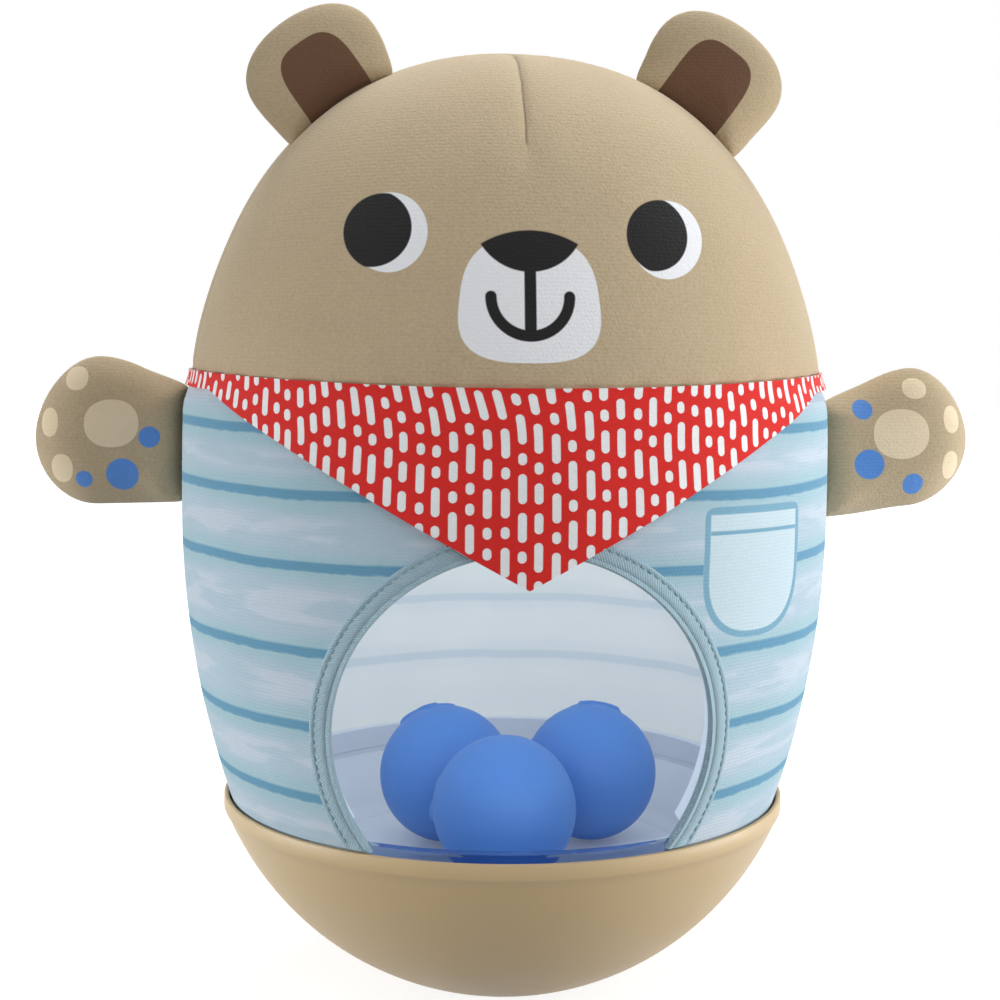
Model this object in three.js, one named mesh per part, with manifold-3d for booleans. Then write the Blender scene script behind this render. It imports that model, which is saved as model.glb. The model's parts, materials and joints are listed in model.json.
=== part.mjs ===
// Roly-poly bear: a weighted rocker bowl under a soft bear with a ball chamber behind a window.
// Millimetres, +Z up, the bear looks along -Y. Left and right are the bear's own.

import * as THREE from "three";
import { mergeVertices } from "three/addons/utils/BufferGeometryUtils.js";
import Module from "manifold-3d";

const wasm = await Module();
wasm.setup();

// Fits and facets
const CLEARANCE = 0.3; // gap kept between two pieces that touch
const WELD = 1e-4; // points closer than this are one point
const BODY_FACETS = 40; // facets round the bowl, body and head
const INNER_FACETS = 24; // facets round what is hidden inside
const SMALL_FACETS = 12; // facets round screws and bosses
const BODY_STEPS = 6; // steps up a body surface
const HEAD_STEPS = 8; // steps up the head

// Rocker bowl
const BOWL_RADIUS = 72; // outside of the ball-shaped base
const BOWL_WALL = 2.4;
const FOOT_RADIUS = 9; // small flat that the toy rests on
const RIM_HEIGHT = 47;
const LIP_HEIGHT = 4; // thin band at the top of the bowl
const LIP_PROUD = 0.6; // how far that band stands out
const LIP_WALL = 1.2;
const LIP_ROUND = 0.4;
const BOWL_STEPS = 10; // steps up the bowl's outside
const HOLLOW_STEPS = 6; // steps up its inside

// Counterweight, its retainer and the screws
const WEIGHT_TOP = 19; // height of the weight's flat top
const WEIGHT_GAP = 3.5; // between the weight and the screw wells
const WEIGHT_CHAMFER = 1.2;
const RETAINER_THICKNESS = 2;
const RETAINER_BORE = 16; // radius of the opening in the middle
const RETAINER_BEAD = 1.5; // stiffening bead round that opening
const SCREW_COUNT = 3; // of each kind, spaced evenly
const SHANK_RADIUS = 1.4;
const SCREW_HEAD_RADIUS = 2.7;
const SCREW_HEAD_HEIGHT = 1.9;
const BOSS_RADIUS = 3.5; // bosses that take the retainer's screws
const BOSS_EDGE = 2.6; // from a boss to the bowl's wall
const BOSS_GRIP = 4.5; // thread length in a boss
const WELL_RADIUS = 4.5; // tubes for the screws that come from below
const WELL_SHELF = 3; // material under a screw's head
const TRAY_BOSS_LENGTH = 5.2;
const FLOOR_GAP = 4; // from the retainer's screws to the tray

// Ball tray and balls
const TRAY_WALL = 1.8;
const FLOOR_RADIUS = 46; // flat part of the tray
const TRAY_LIP = 2.5; // how far the tray's lip stands above the bowl's rim
const BALL_DIAMETER = 33;
const CROWN_RADIUS = 8; // five-pointed crown on each ball
const CROWN_WAIST = 5.2; // radius between the crown's points
const CROWN_PROUD = 1;
const CROWN_POINTS = 5;
const DIMPLE_RADIUS = 3.6;
const DIMPLE_DEPTH = 1.6;

// Body
const BODY_RADIUS = 77.1; // widest
const BODY_WIDEST_HEIGHT = 125;
const BODY_TAPER = 2.3; // 2 would be a parabola
const NECK_HEIGHT = 146.5; // seam between body and head
const COVER_THICKNESS = 2.4; // knitted cover with its backing
const TAPE_THICKNESS = 0.8;
const TAPE_WIDTH = 4.6;
const TAPE_WEB = 1; // tape that wraps the edge of the cover's hole
const WINDOW_RADIUS = 39.2; // clear opening
const WINDOW_HEIGHT = 72; // height of its centre
const WINDOW_FLANGE = 6; // depth of the window's return flange
const WINDOW_FLANGE_WALL = 1.6;
const BARREL_WALL = 1.8; // rigid liner behind the cover
const NECK_DEPTH = 6; // from the neck seam down to the liner's top
const PLATE_THICKNESS = 2;
const SPIGOT_HEIGHT = 5;
const SPIGOT_WALL = 1.6;

// Head
const HEAD_SETBACK = 2; // from the body's widest in to the head at the neck seam
const HEAD_HEIGHT = 76; // above the neck seam
const CHEEK_FULLNESS = 0.45; // how long the sides stay upright
const CHEEK_LEAN = 0.932; // 1 would be plumb at the neck
const CROWN_FULLNESS = 0.685; // how long the top stays level
const PADDING_THICKNESS = 6;

// Ears and arms
const LIMB_GAP = 0.7; // from a limb's seam to the cover
const LIMB_EDGE = 1.2; // thickness at the seam round a limb
const LIMB_RINGS = 4;
const CURVE_STEPS = 6;
const EAR_OUT = 41.4; // distance of an ear's middle from the centre plane
const EAR_FORWARD = 14; // how far in front of the head's middle the ears sit
const EAR_BASE = 31.4;
const EAR_WIDTH = 34.4;
const EAR_HEIGHT = 22.8;
const EAR_WIDEST = 10.5; // above the ear's base
const EAR_SQUARENESS = 0.6; // 0.55 would be round
const EAR_THICKNESS = 9;
const ARM_HEIGHT = 128.6; // height of the arm's seam above the floor
const ARM_LENGTH = 36;
const ARM_TOP = 20.8; // outline above and below the middle of the seam
const ARM_ROOT_TOP = 12.8;
const ARM_ROOT_BOTTOM = 15.5;
const ARM_BOTTOM = 14;
const ARM_CROWN = 21; // distance out to the highest and lowest points
const ARM_TIP = 1.5; // height of the tip
const ARM_THICKNESS = 17;

// Bandana
const BANDANA_THICKNESS = 1;
const BANDANA_DROP = 42; // from the neck seam down to the tip
const BANDANA_SLOPE = 0.56; // rise of the lower edges, seen from the front
const BANDANA_END = 3; // height of the ends at the side seams
const FLAP_LENGTH = 24; // free part below the fold
const FOLD_GAP = 0.4;

// Worked-out heights and radii
const ballRadius = BALL_DIAMETER / 2;
const bowlCentre = Math.sqrt(BOWL_RADIUS ** 2 - FOOT_RADIUS ** 2);
const lipBottom = RIM_HEIGHT - LIP_HEIGHT;
const lipOuter = sphereRadius(BOWL_RADIUS, lipBottom) + LIP_PROUD;
const lipInner = lipOuter - LIP_WALL;
const waistRadius = lipInner - CLEARANCE;
const bowlInner = BOWL_RADIUS - BOWL_WALL;
const screwCircle = sphereRadius(bowlInner, WEIGHT_TOP) - BOSS_EDGE - BOSS_RADIUS;
const weightRadius = screwCircle - WELL_RADIUS - WEIGHT_GAP;
const retainerBottom = WEIGHT_TOP + CLEARANCE;
const retainerTop = retainerBottom + RETAINER_THICKNESS;
const trayBottom = retainerTop + SCREW_HEAD_HEIGHT + FLOOR_GAP;
const floorHeight = trayBottom + TRAY_WALL;
const wellTop = trayBottom - TRAY_BOSS_LENGTH - CLEARANCE;
const barrelOffset = COVER_THICKNESS + TAPE_THICKNESS + 2 * CLEARANCE;
const barrelBottom = RIM_HEIGHT + CLEARANCE;
const barrelTop = NECK_HEIGHT - NECK_DEPTH;
const trayOuter = bodyRadius(RIM_HEIGHT) - barrelOffset - BARREL_WALL - CLEARANCE;
const trayTop = RIM_HEIGHT + TRAY_LIP;
const plateTop = barrelTop + CLEARANCE + PLATE_THICKNESS;
const holeRadius = WINDOW_RADIUS + TAPE_WEB + CLEARANCE;
const paneRadius = WINDOW_RADIUS + TAPE_WEB + WINDOW_FLANGE_WALL;
const headRadius = BODY_RADIUS - HEAD_SETBACK;
const foldHeight = NECK_HEIGHT - BANDANA_DROP + FLAP_LENGTH;

// Radius of a ball-shaped surface of the bowl at a height.
function sphereRadius(radius, height) {
  return Math.sqrt(radius ** 2 - (bowlCentre - height) ** 2);
}

// Radius of the body's outside at a height.
function bodyRadius(height) {
  const share = (height - BODY_WIDEST_HEIGHT) / (BODY_WIDEST_HEIGHT - RIM_HEIGHT);
  return BODY_RADIUS - (BODY_RADIUS - waistRadius) * Math.abs(share) ** BODY_TAPER;
}

// Evenly spaced values from first to last.
function spaced(first, last, steps) {
  return Array.from({ length: steps + 1 }, (_, i) => first + ((last - first) * i) / steps);
}

// A closed geometry as a solid that can be joined and cut.
function solid(geometry) {
  const bare = geometry.clone();
  for (const name of Object.keys(bare.attributes)) {
    if (name !== "position") bare.deleteAttribute(name);
  }
  const welded = mergeVertices(bare, WELD);
  const corners = welded.index.array;
  const triangles = [];
  for (let i = 0; i < corners.length; i += 3) {
    const [a, b, c] = corners.slice(i, i + 3);
    if (a !== b && b !== c && c !== a) triangles.push(a, b, c);
  }
  const vertProperties = welded.attributes.position.array;
  const triVerts = new Uint32Array(triangles);
  return new wasm.Manifold(new wasm.Mesh({ numProp: 3, vertProperties, triVerts }));
}

// A solid back as a geometry.
function geometryOf(shape) {
  const mesh = shape.getMesh();
  const geometry = new THREE.BufferGeometry();
  geometry.setAttribute("position", new THREE.BufferAttribute(new Float32Array(mesh.vertProperties), 3));
  geometry.setIndex(new THREE.BufferAttribute(new Uint32Array(mesh.triVerts), 1));
  return geometry;
}

// A profile of [radius, height] points, counter-clockwise, turned about the Z axis.
function revolve(profile, facets = BODY_FACETS) {
  const points = profile.map(([radius, height]) => new THREE.Vector2(radius, height));
  if (profile[0][0] > 0) points.push(points[0].clone());
  return solid(new THREE.LatheGeometry(points, facets).rotateX(Math.PI / 2));
}

// An upright round bar.
function bar(radius, bottom, top, facets = SMALL_FACETS) {
  const cylinder = new THREE.CylinderGeometry(radius, radius, top - bottom, facets);
  return solid(cylinder.rotateX(Math.PI / 2).translate(0, 0, (bottom + top) / 2));
}

// A flat outline in X and Z carried from the centre plane through the bear's front.
function forward(shape) {
  const options = { depth: 2 * BODY_RADIUS, bevelEnabled: false, curveSegments: BODY_FACETS / 2 };
  return solid(new THREE.ExtrudeGeometry(shape, options).rotateX(Math.PI / 2));
}

// A round outline about the window's centre.
function windowDisc(radius) {
  return forward(new THREE.Shape().absarc(0, WINDOW_HEIGHT, radius, 0, 2 * Math.PI));
}

// A block over the whole body from one height to another, clear of the centre plane on one side.
function block(bottom, top, side) {
  const width = 4 * BODY_RADIUS;
  const box = new THREE.BoxGeometry(width, width / 2, top - bottom);
  return solid(box.translate(0, side * (width / 4 + CLEARANCE / 2), (bottom + top) / 2));
}

// The front or back half of a turned solid.
function half(shape, side) {
  return shape.intersect(block(0, NECK_HEIGHT + 2 * HEAD_HEIGHT, side));
}

const FRONT = -1;
const BACK = 1;

// A shell that follows the body between two offsets from its outside, each a function of height.
function bodyShell(inside, outside, bottom, top) {
  const heights = spaced(bottom, top, BODY_STEPS);
  const outer = heights.map((z) => [bodyRadius(z) + outside(z), z]);
  const inner = heights.map((z) => [bodyRadius(z) + inside(z), z]);
  return revolve([...outer, ...inner.reverse()]);
}

// Copies of a solid on the screw circle, the first one turned away from the front by an angle.
function onScrewCircle(shape, angle) {
  const places = spaced(0, 360, SCREW_COUNT).slice(0, SCREW_COUNT);
  return places.map((turn) => shape.translate([0, screwCircle, 0]).rotate([0, 0, angle + turn]));
}

// Points on a ball-shaped surface of the bowl between two angles from straight down.
function bowlArc(radius, from, to, steps) {
  return spaced(from, to, steps).map((a) => [radius * Math.sin(a), bowlCentre - radius * Math.cos(a)]);
}

// The bowl's inside, drawn in by an inset, from the bottom up to the lip
function bowlHollow(inset) {
  const brim = Math.acos((bowlCentre - lipBottom) / bowlInner);
  return bowlArc(bowlInner - inset, 0, brim, HOLLOW_STEPS);
}

// Rocker bowl
function rockerBowl() {
  const footAngle = Math.asin(FOOT_RADIUS / BOWL_RADIUS);
  const lipAngle = Math.acos((bowlCentre - lipBottom) / BOWL_RADIUS);
  const outside = [[0, 0], ...bowlArc(BOWL_RADIUS, footAngle, lipAngle, BOWL_STEPS)];
  const lip = [
    [lipOuter, lipBottom + LIP_PROUD],
    [lipOuter, RIM_HEIGHT - LIP_ROUND],
    [lipOuter - LIP_ROUND, RIM_HEIGHT],
    [lipInner + LIP_ROUND, RIM_HEIGHT],
    [lipInner, RIM_HEIGHT - LIP_ROUND],
    [lipInner, lipBottom],
  ];
  const shell = revolve([...outside, ...lip, ...bowlHollow(0).reverse()]);
  const filled = revolve([...outside, [0, lipBottom]]);
  const wells = onScrewCircle(bar(WELL_RADIUS, 0, wellTop), 0);
  const bosses = onScrewCircle(bar(BOSS_RADIUS, 0, WEIGHT_TOP), 180 / SCREW_COUNT);
  const pockets = onScrewCircle(bar(SCREW_HEAD_RADIUS + CLEARANCE, 0, wellTop - WELL_SHELF), 0);
  const shelfHoles = onScrewCircle(bar(SHANK_RADIUS + CLEARANCE, 0, wellTop), 0);
  const thread = bar(SHANK_RADIUS + CLEARANCE, WEIGHT_TOP - BOSS_GRIP - CLEARANCE, WEIGHT_TOP);
  const threads = onScrewCircle(thread, 180 / SCREW_COUNT);
  const posts = wasm.Manifold.union([...wells, ...bosses]).intersect(filled);
  return shell.add(posts).subtract(wasm.Manifold.union([...pockets, ...shelfHoles, ...threads]));
}

// Cast weight whose underside sits in the bowl
function counterweight() {
  const slug = revolve([
    [0, 0],
    [weightRadius, 0],
    [weightRadius, WEIGHT_TOP - WEIGHT_CHAMFER],
    [weightRadius - WEIGHT_CHAMFER, WEIGHT_TOP],
    [0, WEIGHT_TOP],
  ], INNER_FACETS);
  return slug.intersect(revolve([...bowlHollow(CLEARANCE), [0, lipBottom]]));
}

// Ring that holds the weight down
function weightRetainer() {
  const edge = screwCircle + BOSS_RADIUS;
  const ring = revolve([
    [RETAINER_BORE, retainerBottom],
    [edge, retainerBottom],
    [edge, retainerTop],
    [RETAINER_BORE + RETAINER_THICKNESS, retainerTop],
    [RETAINER_BORE + RETAINER_THICKNESS, retainerTop + RETAINER_BEAD],
    [RETAINER_BORE, retainerTop + RETAINER_BEAD],
  ], INNER_FACETS);
  const wellHoles = onScrewCircle(bar(WELL_RADIUS + CLEARANCE, 0, trayBottom), 0);
  const screwHoles = onScrewCircle(bar(SHANK_RADIUS + CLEARANCE, 0, trayBottom), 180 / SCREW_COUNT);
  return ring.subtract(wasm.Manifold.union([...wellHoles, ...screwHoles]));
}

// Pan-head screw pointing up, its head's seat at height 0
function screw(length) {
  const crown = SCREW_HEAD_HEIGHT / 2;
  const profile = [
    [0, -SCREW_HEAD_HEIGHT],
    [SCREW_HEAD_RADIUS - crown, -SCREW_HEAD_HEIGHT],
    [SCREW_HEAD_RADIUS, -crown],
    [SCREW_HEAD_RADIUS, 0],
    [SHANK_RADIUS, 0],
    [SHANK_RADIUS, length - SHANK_RADIUS],
    [0, length],
  ];
  return geometryOf(revolve(profile, SMALL_FACETS));
}

// Dish that carries the balls, screwed to the bowl's wells
function ballTray() {
  const flangeBottom = lipBottom - TRAY_WALL;
  const flange = sphereRadius(bowlInner, flangeBottom) - 2 * CLEARANCE;
  const dish = revolve([
    [0, trayBottom],
    [FLOOR_RADIUS + CLEARANCE, trayBottom],
    [trayOuter, flangeBottom],
    [flange, flangeBottom],
    [flange, lipBottom],
    [trayOuter, lipBottom],
    [trayOuter, trayTop],
    [trayOuter - TRAY_WALL, trayTop],
    [trayOuter - TRAY_WALL, flangeBottom + TRAY_WALL / 2],
    [FLOOR_RADIUS, floorHeight],
    [0, floorHeight],
  ]);
  const feet = onScrewCircle(bar(WELL_RADIUS, wellTop + CLEARANCE, trayBottom + CLEARANCE), 0);
  const holes = onScrewCircle(bar(SHANK_RADIUS + CLEARANCE, 0, trayBottom + CLEARANCE), 0);
  return dish.add(wasm.Manifold.union(feet)).subtract(wasm.Manifold.union(holes));
}

// Ring that traps the cover's hem and carries the liner
function hemRing() {
  const bottom = lipBottom + CLEARANCE;
  const hem = (z) => bodyRadius(z) - COVER_THICKNESS - CLEARANCE;
  const bore = trayOuter + CLEARANCE;
  return revolve([
    [bore, bottom],
    [hem(bottom), bottom],
    [hem(RIM_HEIGHT), RIM_HEIGHT],
    [bore, RIM_HEIGHT],
  ]);
}

// Rigid liner of the body, a front and a back half
const barrelInset = -barrelOffset - BARREL_WALL;
const barrel = bodyShell(() => barrelInset, () => -barrelOffset, barrelBottom, barrelTop);

// Clear window with a return flange, set in the liner's front
function windowPanel() {
  const disc = windowDisc(paneRadius);
  const pane = half(barrel, FRONT).intersect(disc);
  const flangeRing = disc.subtract(windowDisc(paneRadius - WINDOW_FLANGE_WALL));
  const depth = barrelOffset + BARREL_WALL + WINDOW_FLANGE;
  const band = bodyShell(() => -depth, () => -barrelOffset, trayTop + 2 * CLEARANCE, barrelTop);
  return pane.add(half(band, FRONT).intersect(flangeRing));
}

// Knitted cover of the body, a front and a back panel
const coverBottom = lipBottom + CLEARANCE;
const coverTop = NECK_HEIGHT - CLEARANCE;
const cover = bodyShell(() => -COVER_THICKNESS, () => 0, coverBottom, coverTop);

// Tape folded over the edge of the cover's round hole
function windowBinding() {
  const bottom = RIM_HEIGHT + CLEARANCE;
  const outside = CLEARANCE + TAPE_THICKNESS;
  const folded = bodyShell(() => -COVER_THICKNESS - outside, () => outside, bottom, coverTop);
  const channel = bodyShell(() => -COVER_THICKNESS - CLEARANCE, () => CLEARANCE, bottom, coverTop);
  const ring = windowDisc(WINDOW_RADIUS + TAPE_WIDTH).subtract(windowDisc(WINDOW_RADIUS));
  const wrapped = channel.subtract(windowDisc(WINDOW_RADIUS + TAPE_WEB));
  return half(folded, FRONT).intersect(ring).subtract(wrapped);
}

// Plate that closes the liner and carries the head
function neckPlate() {
  const bottom = barrelTop + CLEARANCE;
  const edge = bodyRadius(barrelTop) - barrelOffset;
  const spigot = edge - BARREL_WALL - 2 * CLEARANCE;
  return revolve([
    [0, bottom],
    [spigot - SPIGOT_WALL, bottom],
    [spigot - SPIGOT_WALL, bottom - SPIGOT_HEIGHT],
    [spigot, bottom - SPIGOT_HEIGHT],
    [spigot, bottom],
    [edge, bottom],
    [edge, plateTop],
    [0, plateTop],
  ]);
}

// Half outline of the head, sunk by an inset, from the neck seam to the top.
function headCurve(inset) {
  const radius = headRadius - inset;
  const rise = HEAD_HEIGHT - inset;
  const top = NECK_HEIGHT + rise;
  return new THREE.CubicBezierCurve(
    new THREE.Vector2(radius, NECK_HEIGHT + CLEARANCE),
    new THREE.Vector2(CHEEK_LEAN * radius, NECK_HEIGHT + CHEEK_FULLNESS * rise),
    new THREE.Vector2(CROWN_FULLNESS * radius, top),
    new THREE.Vector2(0, top),
  );
}

// A cap that follows the head between two insets, open at the neck.
function headCap(outerInset, innerInset, bottom, steps, facets) {
  const outline = (inset) => headCurve(inset).getPoints(steps).map((p) => [p.x, p.y]);
  const outer = outline(outerInset);
  const inner = outline(innerInset).reverse();
  const hem = bottom < outer[0][1] ? [[inner.at(-1)[0], bottom], [outer[0][0], bottom]] : [];
  return revolve([...inner, ...hem, ...outer], facets);
}

// A stuffed limb: an outline that swells from its seam to a middle thickness.
// The outline lies in X and Z, and the limb swells both ways along Y.
function stuffed(outline, middle, thickness) {
  const count = outline.length;
  const rings = spaced(1, 0, LIMB_RINGS).slice(0, LIMB_RINGS);
  const swell = (share) => (LIMB_EDGE + (thickness - LIMB_EDGE) * Math.sqrt(1 - share ** 2)) / 2;
  const points = [];
  const faces = [];
  for (const side of [FRONT, BACK]) {
    for (const share of rings) {
      for (const p of outline) {
        const place = middle.clone().lerp(p, share);
        points.push(place.x, side * swell(share), place.y);
      }
    }
    points.push(middle.x, side * swell(0), middle.y);
  }
  const sideSize = LIMB_RINGS * count + 1;
  const quad = (a, b, c, d) => faces.push(a, b, c, a, c, d);
  for (let i = 0; i < count; i++) {
    const next = (i + 1) % count;
    for (let ring = 0; ring < LIMB_RINGS - 1; ring++) {
      const [outer, inner] = [ring * count, (ring + 1) * count];
      quad(outer + i, outer + next, inner + next, inner + i);
      quad(sideSize + outer + next, sideSize + outer + i, sideSize + inner + i, sideSize + inner + next);
    }
    const last = (LIMB_RINGS - 1) * count;
    faces.push(last + i, last + next, sideSize - 1);
    faces.push(sideSize + last + next, sideSize + last + i, 2 * sideSize - 1);
    quad(sideSize + i, sideSize + next, next, i);
  }
  const geometry = new THREE.BufferGeometry();
  geometry.setAttribute("position", new THREE.Float32BufferAttribute(points, 3));
  geometry.setIndex(faces);
  return geometry;
}

// The head's outline in the upright plane that the ears stand in, from the side to the top.
function earSection() {
  const outline = headCurve(-LIMB_GAP).getPoints(4 * BODY_FACETS).filter((p) => p.x > EAR_FORWARD);
  return outline.map((p) => new THREE.Vector2(Math.sqrt(p.x ** 2 - EAR_FORWARD ** 2), p.y));
}

// Where on that outline an ear sits: its place and the slope of the seam there.
function earSeat() {
  const section = earSection();
  const after = section.findIndex((p) => p.x < EAR_OUT);
  const [below, above] = [section[after - 1], section[after]];
  const share = (below.x - EAR_OUT) / (below.x - above.x);
  const lean = Math.atan2(above.y - below.y, below.x - above.x);
  return { place: below.clone().lerp(above, share), lean };
}

// Ear outline with its base on the head's outline, seen from the front on the bear's left.
// Local X runs along the seam towards the bear's left, local Z away from the head.
function earOutline({ place, lean }) {
  const middle = new THREE.Vector2();
  const head = earSection().map((p) => p.sub(place).rotateAround(middle, lean));
  const seam = (x) => {
    const after = head.findIndex((p) => p.x < x);
    const [a, b] = [head[after - 1], head[after]];
    return new THREE.Vector2(x, a.y + ((b.y - a.y) * (x - a.x)) / (b.x - a.x));
  };
  const base = spaced(-EAR_BASE / 2, EAR_BASE / 2, CURVE_STEPS).map(seam);
  const [first, last] = [base[0], base.at(-1)];
  const top = new THREE.Shape();
  const halfWidth = EAR_WIDTH / 2;
  const shoulder = EAR_WIDEST + EAR_SQUARENESS * (EAR_HEIGHT - EAR_WIDEST);
  const corner = EAR_SQUARENESS * halfWidth;
  top.moveTo(last.x, last.y);
  top.quadraticCurveTo(halfWidth, EAR_WIDEST / 2, halfWidth, EAR_WIDEST);
  top.bezierCurveTo(halfWidth, shoulder, corner, EAR_HEIGHT, 0, EAR_HEIGHT);
  top.bezierCurveTo(-corner, EAR_HEIGHT, -halfWidth, shoulder, -halfWidth, EAR_WIDEST);
  top.quadraticCurveTo(-halfWidth, EAR_WIDEST / 2, first.x, first.y);
  return [...top.getPoints(CURVE_STEPS), ...base.slice(1, -1)];
}

// Arm outline with its seam upright at X = 0, seen from the front on the bear's left
function armOutline() {
  const shape = new THREE.Shape();
  const [near, far] = [ARM_CROWN / 3, (2 * ARM_CROWN) / 3];
  const palm = (ARM_CROWN + ARM_LENGTH) / 2;
  shape.moveTo(0, -ARM_ROOT_BOTTOM);
  shape.bezierCurveTo(near, -ARM_ROOT_BOTTOM, far, -ARM_BOTTOM, ARM_CROWN, -ARM_BOTTOM);
  shape.bezierCurveTo(palm, -ARM_BOTTOM, ARM_LENGTH, -ARM_BOTTOM / 2, ARM_LENGTH, ARM_TIP);
  shape.bezierCurveTo(ARM_LENGTH, ARM_TOP / 2, palm, ARM_TOP, ARM_CROWN, ARM_TOP);
  shape.bezierCurveTo(far, ARM_TOP, near, ARM_ROOT_TOP + LIMB_EDGE, 0, ARM_ROOT_TOP);
  return shape.getPoints(CURVE_STEPS);
}

// Ball with a five-pointed crown about its Z axis
function crownedBall() {
  const round = (radius) => solid(new THREE.SphereGeometry(radius, 2 * SMALL_FACETS, SMALL_FACETS));
  const star = new THREE.Shape();
  const corners = spaced(0, 2 * CROWN_POINTS, 2 * CROWN_POINTS).slice(0, -1);
  star.setFromPoints(corners.map((i) => {
    const reach = i % 2 ? CROWN_WAIST : CROWN_RADIUS;
    const angle = (Math.PI * i) / CROWN_POINTS;
    return new THREE.Vector2(reach * Math.cos(angle), reach * Math.sin(angle));
  }));
  const prism = new THREE.ExtrudeGeometry(star, { depth: BALL_DIAMETER, bevelEnabled: false });
  const crown = solid(prism).intersect(round(ballRadius + CROWN_PROUD));
  const dimple = bar(DIMPLE_RADIUS, ballRadius - DIMPLE_DEPTH, BALL_DIAMETER);
  return round(ballRadius).add(crown).subtract(dimple);
}

// Bandana: lies on the cover at the neck and on the window's tape at its tip
function bandana() {
  const tip = NECK_HEIGHT - BANDANA_DROP;
  const tapeTop = WINDOW_HEIGHT + WINDOW_RADIUS + TAPE_WIDTH;
  const lift = (z) => {
    const share = Math.min(1, Math.max(0, (NECK_HEIGHT - z) / (NECK_HEIGHT - tapeTop)));
    return CLEARANCE + share * (CLEARANCE + TAPE_THICKNESS);
  };
  const cloth = bodyShell(lift, (z) => lift(z) + BANDANA_THICKNESS, tip, coverTop);
  const side = 2 * BODY_RADIUS;
  const endHeight = NECK_HEIGHT - BANDANA_END;
  const bend = (endHeight - tip) / BANDANA_SLOPE;
  const outline = [
    [0, tip],
    [bend, endHeight],
    [side, endHeight],
    [side, NECK_HEIGHT],
    [-side, NECK_HEIGHT],
    [-side, endHeight],
    [-bend, endHeight],
  ];
  const vee = new THREE.Shape(outline.map(([x, z]) => new THREE.Vector2(x, z)));
  return half(cloth, FRONT).intersect(forward(vee));
}

// Materials
function material(color, roughness, extra = {}) {
  return new THREE.MeshStandardMaterial({ color, roughness, metalness: 0, ...extra });
}
const tanKnit = material("#b5a283", 0.95);
const tanPlastic = material("#c3ad84", 0.45);
const stripedKnit = material("#b9cfd8", 0.95);
const tape = material("#8fa9b2", 0.9);
const redCotton = material("#cf2626", 0.9);
const whitePlastic = material("#e4e9ec", 0.5);
const clearPlastic = material("#c3d8ea", 0.08, { transparent: true, opacity: 0.35 });
const frostedPlastic = material("#cfdde6", 0.4, { transparent: true, opacity: 0.8 });
const bluePlastic = material("#4a7ac6", 0.5);
const castIron = material("#4b4d50", 0.7, { metalness: 1 });
const steel = material("#a6a9ac", 0.35, { metalness: 1 });
const batting = material("#f0eee8", 1);

const bear = new THREE.Group();

// Adds one named piece to the bear.
function add(name, shape, finish, parent = bear) {
  const geometry = shape.isBufferGeometry ? shape : geometryOf(shape);
  const mesh = new THREE.Mesh(geometry, finish.clone());
  mesh.name = name;
  parent.add(mesh);
  return mesh;
}

// Base
add("rocker_bowl", rockerBowl(), tanPlastic);
add("counterweight", counterweight(), castIron);
add("weight_retainer", weightRetainer(), whitePlastic);
add("ball_tray", ballTray(), frostedPlastic);
add("hem_ring", hemRing(), whitePlastic);

const screwPlace = (turn) => [-screwCircle * Math.sin(turn), screwCircle * Math.cos(turn)];
const traySeat = wellTop - WELL_SHELF;
const trayScrewLength = WELL_SHELF + TRAY_BOSS_LENGTH;
const retainerScrewLength = RETAINER_THICKNESS + CLEARANCE + BOSS_GRIP;
for (let i = 0; i < SCREW_COUNT; i++) {
  const turn = (2 * Math.PI * i) / SCREW_COUNT;
  const trayScrew = add(`tray_screw_${i + 1}`, screw(trayScrewLength), steel);
  trayScrew.position.set(...screwPlace(turn), traySeat - CLEARANCE);
  const retainerScrew = add(`retainer_screw_${i + 1}`, screw(retainerScrewLength), steel);
  retainerScrew.rotation.x = Math.PI;
  retainerScrew.position.set(...screwPlace(turn + Math.PI / SCREW_COUNT), retainerTop + CLEARANCE);
}

// Body
add("barrel_front", half(barrel, FRONT).subtract(windowDisc(paneRadius + CLEARANCE)), frostedPlastic);
add("barrel_back", half(barrel, BACK), frostedPlastic);
add("window_panel", windowPanel(), clearPlastic);
add("torso_front_panel", half(cover, FRONT).subtract(windowDisc(holeRadius)), stripedKnit);
add("torso_back_panel", half(cover, BACK), stripedKnit);
add("window_binding", windowBinding(), tape);
add("neck_plate", neckPlate(), whitePlastic);

// Bandana, folded in two pieces at the line where its tip lifts
const cloth = bandana();
const belowFold = cloth.intersect(block(0, foldHeight - FOLD_GAP / 2, FRONT));
const aboveFold = cloth.intersect(block(foldHeight + FOLD_GAP / 2, 2 * NECK_HEIGHT, FRONT));
add("bandana_band", aboveFold, redCotton);
add("bandana_flap", belowFold, redCotton);

// Head
const headShell = headCap(0, COVER_THICKNESS, NECK_HEIGHT + CLEARANCE, HEAD_STEPS, BODY_FACETS);
const paddingInset = COVER_THICKNESS + CLEARANCE;
const paddingCore = paddingInset + PADDING_THICKNESS;
const padding = headCap(paddingInset, paddingCore, plateTop + CLEARANCE, HEAD_STEPS, INNER_FACETS);
add("head_front_panel", half(headShell, FRONT), tanKnit);
add("head_back_panel", half(headShell, BACK), tanKnit);
add("head_padding", padding, batting);

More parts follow.
